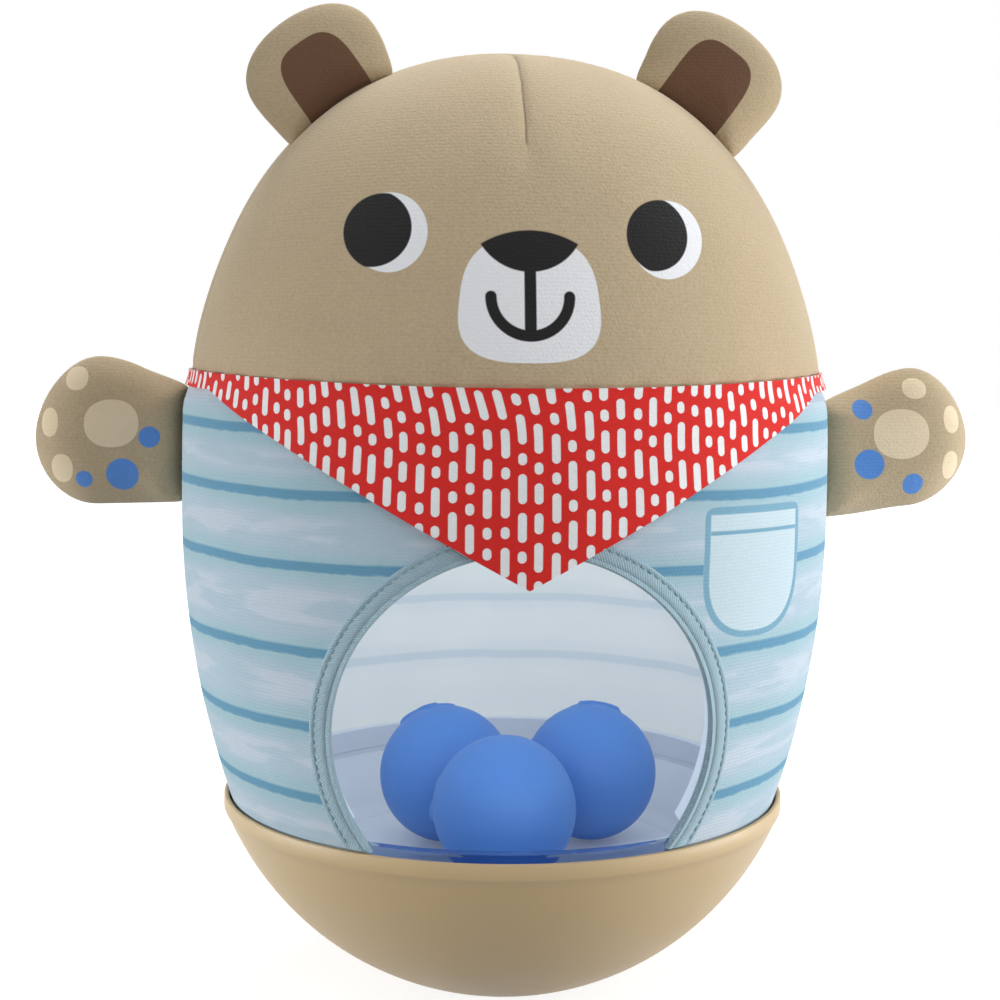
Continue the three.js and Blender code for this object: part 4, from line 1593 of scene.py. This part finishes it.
@dataclass
class Chamber:
    """Liner halves, clear window and the balls behind it."""

    liner_offset: float = 3.8
    liner_wall: float = 1.8
    liner_bottom: float = 47.3
    liner_top: float = 140.5
    pane_radius: float = 41.8
    pane_wall: float = 1.5
    flange: float = 6.0
    flange_start: float = 1.7
    flange_wall: float = 1.2
    flange_bottom: float = 50.3
    ball_radius: float = 16.5
    ball_height: float = 45.8
    star: float = 6.7
    star_wave: float = 1.5
    star_rise: float = 0.9
    dimple: float = 1.9
    dimple_radius: float = 4.4

    def liner(self, half: Half) -> Object:
        """One half of the rigid liner, the front one with its hole.

        Args:
            half: which half.

        Returns:
            The half liner.
        """
        span = (self.liner_bottom, self.liner_top)
        walls = (self.liner_offset, self.liner_wall)
        return Bench.tidy(shell(f"liner_{half.word}", half, span, (20, 72), walls, self.pane_radius + 0.3))

    def pane(self) -> Object:
        """Curved clear pane, cut off level at the hem."""
        count = 160
        shares = [1 - (step / 16) ** 1.1 for step in range(16)]
        loops = [[self.on_pane(share, 2 * math.pi * i / count) for i in range(count)] for share in shares]
        piece = Bench.rings("window_pane", loops, closed=True)
        with Bench.edit(piece):
            low = (0, 0, self.liner_bottom * MM)
            bpy.ops.mesh.bisect(plane_co=low, plane_no=(0, 0, 1), clear_inner=True)
        level = FORM.window_height * MM
        Bench.face(piece, lambda f: f.center.x**2 + (f.center.z - level) ** 2, Vector((0, -1, 0)))
        Bench.apply(piece, "SOLIDIFY", thickness=self.pane_wall * MM, offset=-1.0)
        return Bench.tidy(piece, 40)

    def rim(self) -> Object:
        """Frosted flange behind the edge of the pane, open at the hem."""
        reach = math.acos((self.flange_bottom - FORM.window_height) / self.pane_radius)

        def place(along: float, across: float) -> Vector:
            """Point of the flange."""
            back = self.flange_start + across * (self.flange + self.liner_wall - self.flange_start)
            return self.on_pane(0.998, (2 * along - 1) * reach) + Vector((0, back, 0))

        piece = Bench.grid("window_flange", 120, 4, place)
        Bench.face(piece, lambda f: -f.center.x, Vector((1, 0, 0)))
        Bench.apply(piece, "SOLIDIFY", thickness=self.flange_wall * MM, offset=-1.0)
        return Bench.tidy(piece, 40)

    def on_pane(self, share: float, angle: float) -> Vector:
        """Point of the pane at a share of its radius.

        Args:
            share: share of the pane's radius.
            angle: angle from straight up.

        Returns:
            The point.
        """
        x = share * self.pane_radius * math.sin(angle)
        z = FORM.window_height + share * self.pane_radius * math.cos(angle)
        return FORM.in_front(x, z, -self.liner_offset)

    def ball(self, name: str, place: Point, crown: Vector) -> Object:
        """Hollow-looking ball with a dimple inside a crown of five soft points.

        Args:
            name: the ball's name.
            place: X and Y of its middle.
            crown: where its crown looks.

        Returns:
            The ball.
        """
        middle = Vector((place[0], place[1], self.ball_height))
        turn = crown.normalized().to_track_quat("Z", "Y").to_matrix()
        Bench.clear()
        bpy.ops.mesh.primitive_uv_sphere_add(segments=100, ring_count=72, radius=self.ball_radius * MM)
        piece = Bench.named(name)

        def shape(point: Vector) -> Vector:
            """Crown and dimple on the upper half, then the ball's turn and place."""
            out = math.hypot(point.x, point.y)
            if point.z < 0:
                return turn @ point + middle
            star = self.star + self.star_wave * math.cos(5 * math.atan2(point.y, point.x))
            rise = self.star_rise * ease((star - out) / 0.9) * ease((out - 2.4) / 1.8)
            sink = self.dimple * ease((self.dimple_radius - out) / 2.6)
            return turn @ (point * (1 + (rise - sink) / self.ball_radius)) + middle

        Bench.mould(piece, shape)
        return Bench.tidy(piece, 60)

    def build(self) -> None:
        """Makes the chamber."""
        # Painted glow of each liner half, which lights the balls: more for the front half than for the
        # back.
        for half, glow in ((Half.FRONT, 0.5), (Half.BACK, 0.1)):
            sheet = LinerSheet(f"liner_sheet_{half.word}", glow).make()
            fit(self.liner(half), "body", Slot.FROSTED_PLASTIC, sheet, f"barrel_{half.word}")
        clear = ClearSheet("clear_window_plastic", "fafcfe", 0.02, 1.12, 0.06).make()
        fit(self.pane(), "body", Slot.CLEAR_PLASTIC, clear, "window_panel")
        # Painted light: the frosted flange glows a little, though it is no lamp.
        frost = Moulded("frosted_flange_plastic", "d5dce2", 0.4, depth=0.015, blotch=0.04, light=0.25)
        fit(self.rim(), "body", Slot.CLEAR_PLASTIC, frost.make())
        blue = Moulded("soft_blue_plastic", "4a82d0", 0.55, blotch=0.06).make()
        balls = (
            ("front", (-0.825, -20.46), Vector((-0.85, 0.5, -0.1))),
            ("right", (-13.365, 11.88), Vector((-0.3, 0.55, 0.8))),
            ("left", (22.77, 11.88), Vector((0.15, 0.5, 0.85))),
        )
        for word, place, crown in balls:
            piece = self.ball(f"berry_ball_{word}", place, crown)
            fit(piece, f"{word}_ball", Slot.BLUE_PLASTIC, blue, f"ball_{word}")


@dataclass
class Torso:
    """Knitted cover of the body and the stitched tape round its window."""

    bottom: float = 43.4
    hole: float = 40.5
    tape_bottom: float = 47.4
    stitch: float = 1.3
    stitch_pitch: float = 1.85
    groove: float = 42.9
    dip_start: float = 122.0
    dip_length: float = 24.4
    seam: Point = (0.55, 1.6)
    valley: Point = (0.25, 5.0)
    slack: float = 0.22
    free_start: float = 50.0
    free_length: float = 10.0

    def cover(self, half: Half) -> Object:
        """One half of the cover: foam-backed knit, drawn in at the neck and at the side seam.

        Args:
            half: which half.

        Returns:
            The half cover.
        """
        span = (self.bottom, FORM.neck_height - FORM.seam_gap)
        piece = shell(f"torso_cover_{half.word}", half, span, (56, 112), (0.0, FORM.cover), self.hole)
        Bench.mould(piece, self.soften)
        return Bench.tidy(piece, 50)

    def soften(self, point: Vector) -> Vector:
        """Soft shape of the cover at a point.

        Args:
            point: its place on the plain wall.

        Returns:
            Its new place.
        """
        turn = math.atan2(point.x, -point.y)
        radius = math.hypot(point.x, point.y)
        near_top = ease((point.z - self.dip_start) / self.dip_length)
        height = point.z + (FORM.neck(turn) - FORM.neck_height) * near_top
        draw = FORM.drawn(FORM.neck_height - FORM.seam_gap - point.z)
        seam = sum(deep * bump(point.y, width) for deep, width in (self.seam, self.valley))
        slack = self.slack * noise.noise(Vector((turn * 2.2, point.z / 26.0, 1.7)))
        free = ease((point.z - self.free_start) / self.free_length)
        outer = radius > FORM.body(point.z) - 1.2
        radius += (slack * free - draw - seam * free) * (1.0 if outer else 0.6)
        return Vector((radius * math.sin(turn), -radius * math.cos(turn), height))

    def section(self) -> Sequence[Point]:
        """Round the tape: (distance from the window's middle, distance proud of the cover)."""
        return (
            (43.75, 0.05),
            (43.85, 0.4),
            (43.65, 0.8),
            (43.25, 0.86),
            (42.9, 0.62),
            (42.5, 0.86),
            (41.6, 1.02),
            (40.8, 1.02),
            (40.4, 0.72),
            (40.05, 1.0),
            (39.6, 1.05),
            (39.25, 0.6),
            (39.15, -0.6),
            (39.2, -2.0),
            (39.45, -2.9),
            (40.2, -3.3),
            (42.2, -3.2),
            (42.3, -2.75),
            (40.6, -2.65),
            (40.4, -1.2),
            (40.45, 0.0),
        )

    def tape(self) -> Object:
        """Tape folded over the edge of the cover's hole."""
        section = [*self.section(), self.section()[0]]

        def place(along: float, across: float) -> Vector:
            """Point of the tape, pulled a little by its stitches."""
            out, proud = section[round(across * (len(section) - 1))]
            reach = math.acos((self.tape_bottom - FORM.window_height) / out)
            angle = (2 * along - 1) * reach
            pull = 0.1 * noise.noise(Vector((along * 60, across * 2.0, 4.0)))
            x = out * math.sin(angle)
            z = FORM.window_height + out * math.cos(angle)
            return FORM.in_front(x, z, proud + pull)

        piece = Bench.grid("window_tape", 260, len(section) - 1, place)
        with Bench.edit(piece):
            bpy.ops.mesh.remove_doubles(threshold=2e-5)
            bpy.ops.mesh.select_all(action="DESELECT")
            bpy.ops.mesh.select_non_manifold()
            bpy.ops.mesh.edge_face_add()
        return Bench.tidy(piece, 60)

    def stitches(self) -> Object:
        """Row of stitches in the tape's groove."""
        Bench.clear()
        bpy.ops.mesh.primitive_uv_sphere_add(segments=8, ring_count=6, radius=0.5 * MM)
        first = Bench.named("stitch")
        Bench.mould(first, lambda p: Vector((p.x * self.stitch, p.y * 0.5, p.z * 0.5)))
        reach = math.acos((self.tape_bottom + 1.0 - FORM.window_height) / self.groove)
        count = int(2 * reach * self.groove / self.stitch_pitch)
        places = []
        for i in range(count):
            angle = -reach + (i + 0.5) * 2 * reach / count
            point = self.on_groove(angle)
            along = (self.on_groove(angle + 0.01) - self.on_groove(angle - 0.01)).normalized()
            out = Vector((point.x, point.y, 0)).normalized()
            side = along.cross(out).normalized()
            turn = Matrix((along, side, along.cross(side))).transposed().to_4x4()
            places.append(Matrix.Translation(point * MM) @ turn)
        return Bench.tidy(Bench.copies("tape_stitches", first, places), 80)

    def on_groove(self, angle: float) -> Vector:
        """Point on the line of the stitches."""
        x = self.groove * math.sin(angle)
        return FORM.in_front(x, FORM.window_height + self.groove * math.cos(angle), 0.8)

    def build(self) -> None:
        """Makes the torso's cover and tape."""
        knit = StripedKnit().make()
        for half in Half:
            piece = fit(self.cover(half), "body", Slot.STRIPED_KNIT, knit, f"torso_{half.word}_panel")
        fit(self.tape(), "body", Slot.BINDING_TAPE, BindingTape().make(), "window_binding")
        fit(self.stitches(), "body", Slot.BINDING_TAPE, Thread("tape_thread", "8aaab6").make())


@dataclass
class Bandana:
    """One sheet of cotton sewn in at the neck, its tip free."""

    tip: float = 104.3
    slope: float = 0.56
    end: float = 4.0
    thickness: float = 0.8
    reach: float = math.radians(89.6)
    tape_top: float = 115.8
    lift: float = 0.3
    tape_lift: float = 1.5
    drape: float = 0.25
    top_gap: float = 0.15
    chest: float = 130.0
    held: float = 138.0
    columns: int = 240
    hinge: float = 128.5
    bend_top: float = 137.0
    bend_bottom: float = 120.0

    def low(self, turn: float) -> float:
        """Height of the lower edge at a turn.

        Args:
            turn: the turn.

        Returns:
            The height.
        """
        edge = self.tip
        for _ in range(6):
            edge = self.tip + self.slope * FORM.body(edge) * abs(math.sin(turn))
        return min(edge, FORM.neck(turn) - self.end)

    def proud(self, turn: float, height: float) -> float:
        """How far the sheet's underside stands off the cover.

        Args:
            turn: the turn.
            height: the height.

        Returns:
            The distance.
        """
        lift = self.lift + self.tape_lift * ease((self.held - height) / (self.held - self.tape_top))
        drape = self.drape * noise.noise(Vector((turn * 5.0, height / 15.0, 7.3)))
        return lift - FORM.drawn(FORM.neck(turn) - 0.2 - height) + max(-0.05, drape)

    def build(self) -> None:
        """Makes the bandana."""

        def place(across: float, up: float) -> Vector:
            """Point of the sheet's underside."""
            turn = (2 * across - 1) * self.reach
            top = FORM.neck(turn) - self.top_gap
            height = self.low(turn) + (top - self.low(turn)) * up
            return FORM.on_body(turn, height, self.proud(turn, height))

        piece = Bench.grid("bandana_sheet", self.columns, 48, place)
        Bench.face(piece, lambda f: abs(f.center.x) + abs(f.center.z - self.chest * MM), Vector((0, -1, 0)))
        Bench.apply(piece, "SOLIDIFY", thickness=self.thickness * MM, offset=1.0)
        Bench.tidy(piece, 50)
        fit(piece, "", Slot.RED_COTTON, DashedCotton().make(), "bandana_band", "bandana_flap")
        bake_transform(piece)


@dataclass
class Head:
    """Stuffed head: one dome with a dart down its forehead and a seam from ear to ear."""

    bottom: float = 143.4
    dart: Point = (0.65, 0.9)
    dart_valley: Point = (0.4, 3.4)
    dart_tail: Point = (0.55, 3.2)
    tail_swell: float = 0.3
    crown: Point = (0.5, 0.9)
    crown_valley: Point = (0.3, 3.6)
    pinch: float = 0.5
    pinches: float = 46.0
    slack: float = 0.35
    grain: float = 30.0

    def dome(self) -> Object:
        """The dome, closed underneath."""
        profile = [(0.0, self.bottom), (55.0, self.bottom), (70.0, 143.7), (73.0, 144.4), (74.6, 145.5)]
        profile += [FORM.head((i / 90) ** 1.02) for i in range(90)]
        profile.append((0.0, FORM.head_top))
        piece = Bench.lathe("head_cover", profile, 480)
        Bench.mould(piece, self.soften)
        return Bench.tidy(piece, 70)

    def soften(self, point: Vector) -> Vector:
        """Soft shape of the head at a point: neck line, dart, seam and slack.

        Args:
            point: its place on the plain dome.

        Returns:
            Its new place.
        """
        if point.z < self.bottom + 0.2:
            return point
        turn = math.atan2(point.x, -point.y)
        radius = math.hypot(point.x, point.y)
        sag = (FORM.neck(turn) - FORM.neck_height) * (1 - ease((point.z - 144.4) / 26.0))
        sag *= ease((radius - 60.0) / 14.0)
        out = Vector((point.x, point.y, (point.z - 165.0) * 0.9)).normalized()
        deep = 0.0
        if point.y < -FORM.ear_forward:
            fade = ease((point.z - FORM.dart_end + 1.5) / 9.0)
            away = point.x - FORM.dart_side
            deep += fade * self.furrow(away, self.dart, self.dart_valley)
            tail = bump(point.z - FORM.dart_end + 1.5, 5.0)
            deep += tail * self.furrow(away, self.dart_tail)
            deep -= self.tail_swell * tail * bump(abs(away) - 6.0, 4.0)
        cross = point.y + FORM.ear_forward
        deep += self.furrow(cross, self.crown, self.crown_valley)
        pinch = self.pinch * bump(point.z - 146.0, 2.2) * (0.6 + 0.4 * math.sin(turn * self.pinches))
        slack = self.slack * noise.noise(point / self.grain)
        return point + out * (slack * ease((point.z - 148.0) / 10.0) - deep - pinch) + Vector((0, 0, sag))

    @staticmethod
    def furrow(distance: float, *shares: Point) -> float:
        """Depth of a seam at a sideways distance, from the depth and width of each of its bells."""
        return sum(deep * bump(distance, width) for deep, width in shares)

    def build(self) -> None:
        """Makes the head."""
        face = FaceKnit("face_knit").make()
        piece = fit(self.dome(), "body", Slot.TAN_KNIT, face, "head_front_panel", "head_back_panel")


@dataclass
class Limb:
    """Stuffed limb: two panels sewn round an outline and filled."""

    name: str
    outline: Sequence[Point]
    middle: Point
    thickness: float
    rings: int = 10
    cap: float = 1.2
    spacing: float = 1.25
    edge: float = 2.6
    belly: float = 0.62
    smoothing: int = 14

    def make(self) -> Object:
        """Builds the two panels, sews them and blows them up.

        Returns:
            The limb in its own plane, X along and Z up, about Y = 0.
        """
        loops = []
        for step in range(self.rings):
            share = 1 - (step / self.rings) ** self.spacing
            swell = 0.5 * self.thickness * (1 - share**self.edge) ** self.belly
            loops.append([self.toward(point, share, -swell) for point in self.outline])
        piece = Bench.rings(self.name, loops, closed=True)
        tip = max(piece.data.vertices, key=lambda v: v.index)
        tip.co.y = -0.5 * self.thickness * MM
        Bench.apply(piece, "MIRROR", use_axis=(False, True, False), merge_threshold=1e-5)
        with Bench.edit(piece):
            bpy.ops.mesh.remove_doubles(threshold=MERGED)
            bpy.ops.mesh.normals_make_consistent(inside=False)
        seam = [v.index for v in piece.data.vertices if abs(v.co.y) < MERGED]
        Bench.swell(piece, seam, self.cap)
        held = set(seam)
        inside = piece.vertex_groups.new(name="inside")
        inside.add([v.index for v in piece.data.vertices if v.index not in held], 1.0, "REPLACE")
        Bench.apply(piece, "SMOOTH", vertex_group=inside.name, factor=0.5, iterations=self.smoothing)
        piece.vertex_groups.clear()
        return Bench.apply(piece, "SUBSURF", levels=1, render_levels=1)

    def toward(self, point: Point, share: float, depth: float) -> Vector:
        """Point between the middle and the outline."""
        x, z = (m + (p - m) * share for m, p in zip(self.middle, point))
        return Vector((x, depth, z))


def dense(curves: Sequence[Sequence[Point]], steps: int) -> list[Point]:
    """Points along a closed chain of cubic curves, each without its last point."""
    return [bezier(curve, i / steps) for curve in curves for i in range(steps)]


@dataclass
class Ears:
    """Two stuffed ears in the seam over the head."""

    out: float = 41.4
    height: float = 209.43
    lean: float = 0.62442
    base: float = 31.4
    width: float = 34.4
    tall: float = 22.8
    widest: float = 10.5
    square: float = 0.6
    thickness: float = 9.0
    shift: float = 1.3
    tuck: float = 1.2
    tuck_height: float = 4.0

    def seam(self) -> list[Point]:
        """The head's outline under an ear, in the ear's own plane, from its right to its left."""
        found = []
        for i in range(400):
            radius, height = FORM.head(i / 400)
            if radius <= FORM.ear_forward:
                break
            across = math.sqrt(radius**2 - FORM.ear_forward**2) - self.out
            upward = height - self.height
            along = across * math.cos(self.lean) - upward * math.sin(self.lean)
            away = across * math.sin(self.lean) + upward * math.cos(self.lean)
            if abs(along) <= self.base / 2:
                found.append((along, away))
        step = max(1, len(found) // 20)
        return list(reversed(found[::step]))

    def outline(self) -> list[Point]:
        """Outline of the left ear, its base on the head."""
        base = self.seam()
        half = self.width / 2
        shoulder = self.widest + self.square * (self.tall - self.widest)
        corner = self.square * half
        last, first = base[-1], base[0]
        third = self.widest / 3
        curves = (
            (last, (half - 0.5, third), (half, 2 * third), (half, self.widest)),
            ((half, self.widest), (half, shoulder), (corner, self.tall), (0.0, self.tall)),
            ((0.0, self.tall), (-corner, self.tall), (-half, shoulder), (-half, self.widest)),
            ((-half, self.widest), (-half, 2 * third), (-half + 0.5, third), first),
        )
        return [*dense(curves, 14), *base[:-1]]

    def build(self) -> None:
        """Makes both ears."""
        for side in Side:
            middle = (0.0, self.widest - 1.0)
            piece = Limb(f"{side.word}_ear_pad", self.outline(), middle, self.thickness).make()
            turn = Matrix.Rotation(self.lean, 3, "Y")
            seat = Vector((self.out, -FORM.ear_forward, self.height))

            def place(point: Vector) -> Vector:
                """Leans an ear, tucks its base into the head and puts it on its side."""
                lift = self.shift * math.sin(self.lean) * side.value
                tuck = (self.tuck + lift) * ease((self.tuck_height - point.z) / self.tuck_height)
                moved = turn @ (point - Vector((0, 0, tuck))) + seat
                return Vector((moved.x * side.value + self.shift, moved.y, moved.z))

            Bench.mould(piece, place)
            Bench.tidy(piece, 80)
            knit = EarKnit(
                f"{side.word}_ear_knit",
                side=side,
                seat=(self.out, self.height),
                shift=self.shift,
                lean=self.lean,
            )
            fit(piece, f"{side.word}_ear", Slot.TAN_KNIT, knit.make(), f"ear_{side.word}")


@dataclass
class Arms:
    """Two stuffed arms sewn into the side seams."""

    out: float = 77.79
    height: float = 128.6
    length: float = 36.0
    top: float = 20.8
    root_top: float = 12.8
    root_bottom: float = 15.5
    bottom: float = 14.0
    crown: float = 21.0
    tip: float = 1.5
    thickness: float = 17.0
    left_drop: float = 2.8
    right_drop: float = -1.0
    right_belly: float = 1.4
    shift: float = 1.0
    bend: float = 16.0
    pucker: float = 0.3
    fullness: float = 0.45
    tuck: float = 0.3
    tuck_length: float = 10.0
    shift_length: float = 14.0

    def outline(self, side: Side) -> list[Point]:
        """Outline of an arm, as on the left, its seam upright at X = 0.

        Args:
            side: whose arm.

        Returns:
            Its points.
        """
        low = self.bottom + (self.right_belly if side is Side.RIGHT else 0.0)
        near, far = self.crown / 3, 2 * self.crown / 3
        palm = (self.crown + self.length) / 2
        end, top, crown = self.length, self.top, self.crown
        curves = (
            ((0.0, -self.root_bottom), (near, -self.root_bottom), (far, -low), (crown, -low)),
            ((crown, -low), (palm, -low), (end, -low / 2), (end, self.tip)),
            ((end, self.tip), (end, top / 2), (palm, top), (crown, top)),
            ((crown, top), (far, top), (near, self.root_top + 3.4), (0.0, self.root_top)),
            ((0.0, self.root_top), (0.0, 5.0), (0.0, -7.0), (0.0, -self.root_bottom)),
        )
        return dense(curves, 16)

    def build(self) -> None:
        """Makes both arms."""
        for side in Side:
            middle = (self.crown - 2.0, self.tip)
            piece = Limb(f"{side.word}_arm_pad", self.outline(side), middle, self.thickness).make()
            drop = self.left_drop if side is Side.LEFT else self.right_drop

            def place(point: Vector) -> Vector:
                """Puckers an arm at its seam, tucks it into the cover and puts it on its side."""
                pucker = self.pucker * math.sin(point.z * 1.35) * bump(point.x - 1.5, 3.0)
                full = 1 + self.fullness * bump(point.x - 1.5, 5.0)
                depth = point.y * full + math.copysign(pucker, point.y) * ease(abs(point.y) / 1.5)
                height = self.height + point.z - drop * (1 - point.x / self.length)
                cover = FORM.body(height) - FORM.drawn(FORM.neck_height - FORM.seam_gap - height)
                tuck = (self.out - cover + self.tuck) * (1 - ease(point.x / self.tuck_length))
                shift = self.shift * ease(point.x / self.shift_length)
                return Vector((side.value * (self.out + point.x - tuck) + shift, depth, height))

            Bench.mould(piece, place)
            Bench.tidy(piece, 80)
            knit = PawKnit(f"{side.word}_paw_knit", side=side).make()
            fit(piece, "", Slot.TAN_KNIT, knit, f"arm_{side.word}")
            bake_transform(piece)


@dataclass(frozen=True)
class Lamp:
    """Soft box that points at the bear."""

    name: str
    place: tuple[float, float, float]
    size: Point
    power: float
    aim: tuple[float, float, float] = (0.0, 0.0, 0.12)
    spread: float = 180.0

    def build(self) -> None:
        """Adds the lamp."""
        Bench.clear()
        bpy.ops.object.light_add(type="AREA", location=self.place)
        lamp = Bench.named(self.name)
        lamp.data.shape = "RECTANGLE"
        lamp.data.size = self.size[0]
        lamp.data.size_y = self.size[1]
        lamp.data.energy = self.power
        lamp.data.spread = math.radians(self.spread)
        lamp.rotation_euler = (Vector(self.aim) - Vector(self.place)).to_track_quat("-Z", "Y").to_euler()


@dataclass(frozen=True)
class Studio:
    """Camera, floor, light and the white around them."""

    distance: float = 0.400
    height: float = 0.151
    turn: float = math.radians(-3.7)
    roll: float = math.radians(0.4)
    focal: float = 1644.0
    axis: float = 505.5
    horizon: float = 352.0
    picture: float = 1000.0
    sensor: float = 36.0
    ambient: float = 0.2
    floor_size: float = 8.0
    floor_grey: str = "a8a8a8"
    floor_white: float = 0.82
    floor_rise: float = 0.3
    floor_clear: float = 260.0
    floor_fade: float = 200.0
    lamps: Sequence[Lamp] = (
        Lamp("right_soft_box", (0.5, -0.3, 0.45), (0.4, 0.4), 0.7),
        Lamp("right_front_box", (0.56, -0.5, 0.22), (0.2, 0.35), 0.9, (0.0, 0.0, 0.1)),
        Lamp("right_strip", (0.5, -0.05, 0.03), (0.3, 0.1), 1.8, (0.0, 0.0, 0.02)),
        Lamp("left_strip", (-0.6, -0.05, 0.06), (0.4, 0.2), 0.45, (0.0, 0.0, 0.0), 60.0),
        Lamp("top_soft_box", (0.1, 0.25, 0.75), (0.5, 0.4), 3.9),
        Lamp("crown_soft_box", (-0.02, -0.22, 0.85), (0.12, 0.12), 0.014, (-0.012, -0.03, 0.215), 14.0),
        Lamp("front_soft_box", (0.1, -0.95, 0.5), (0.6, 0.5), 1.75),
    )

    def camera(self) -> None:
        """Sets the camera level at the photograph's angle, with the frame moved down on the toy."""
        Bench.clear()
        bpy.ops.object.camera_add()
        camera = Bench.named("camera")
        ahead = Vector((-math.sin(self.turn), math.cos(self.turn), 0))
        level = Vector((math.cos(self.turn), math.sin(self.turn), 0))
        plumb = Vector((0, 0, 1))
        right = level * math.cos(self.roll) + plumb * math.sin(self.roll)
        up = plumb * math.cos(self.roll) - level * math.sin(self.roll)
        frame = Matrix((right, up, -ahead)).transposed().to_4x4()
        frame.translation = plumb * self.height - ahead * self.distance
        camera.matrix_world = frame
        camera.data.sensor_width = self.sensor
        camera.data.lens = self.focal / self.picture * self.sensor
        camera.data.shift_x = 0.5 - self.axis / self.picture
        camera.data.shift_y = self.horizon / self.picture - 0.5
        bpy.context.scene.camera = camera

    def floor(self) -> None:
        """Pale floor that keeps the toy's shadow and turns white away from it."""
        Bench.clear()
        bpy.ops.mesh.primitive_grid_add(x_subdivisions=8, y_subdivisions=8, size=self.floor_size)
        floor = Bench.named("studio_floor")
        work = Finish("studio_floor_paint", 0.9)
        work.set("Base Color", ink(self.floor_grey))
        work.set("Emission Color", ink("ffffff"))
        far = work.x.reach(work.y).above(self.floor_clear, self.floor_fade)
        white = far * self.floor_rise + self.floor_white
        work.set("Emission Strength", watched(work.tree) * white)
        floor.data.materials.append(work.material)

    def world(self) -> None:
        """White background to look at, soft grey light on the toy."""
        world = bpy.data.worlds.new("studio_white")
        bpy.context.scene.world = world
        world.use_nodes = True
        tree = world.node_tree
        back = tree.nodes["Background"]
        back.inputs["Color"].default_value = ink("ffffff")
        feed(tree, watched(tree) * (1 - self.ambient) + self.ambient, back.inputs["Strength"])

    def build(self) -> None:
        """Sets up the studio."""
        bpy.context.scene.view_settings.view_transform = "Standard"
        self.camera()
        self.floor()
        self.world()
        for lamp in self.lamps:
            lamp.build()


def main() -> None:
    """Builds the studio and the bear's sub-assemblies in order."""
    logging.basicConfig(level=logging.INFO, format="%(name)s: %(message)s")
    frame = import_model()
    Studio().build()
    RockerBase().build(frame)
    Chamber().build()
    Torso().build()
    Bandana().build()
    Head().build()
    Ears().build()
    Arms().build()
    Bench.clear()


if __name__ == "__main__":
    main()
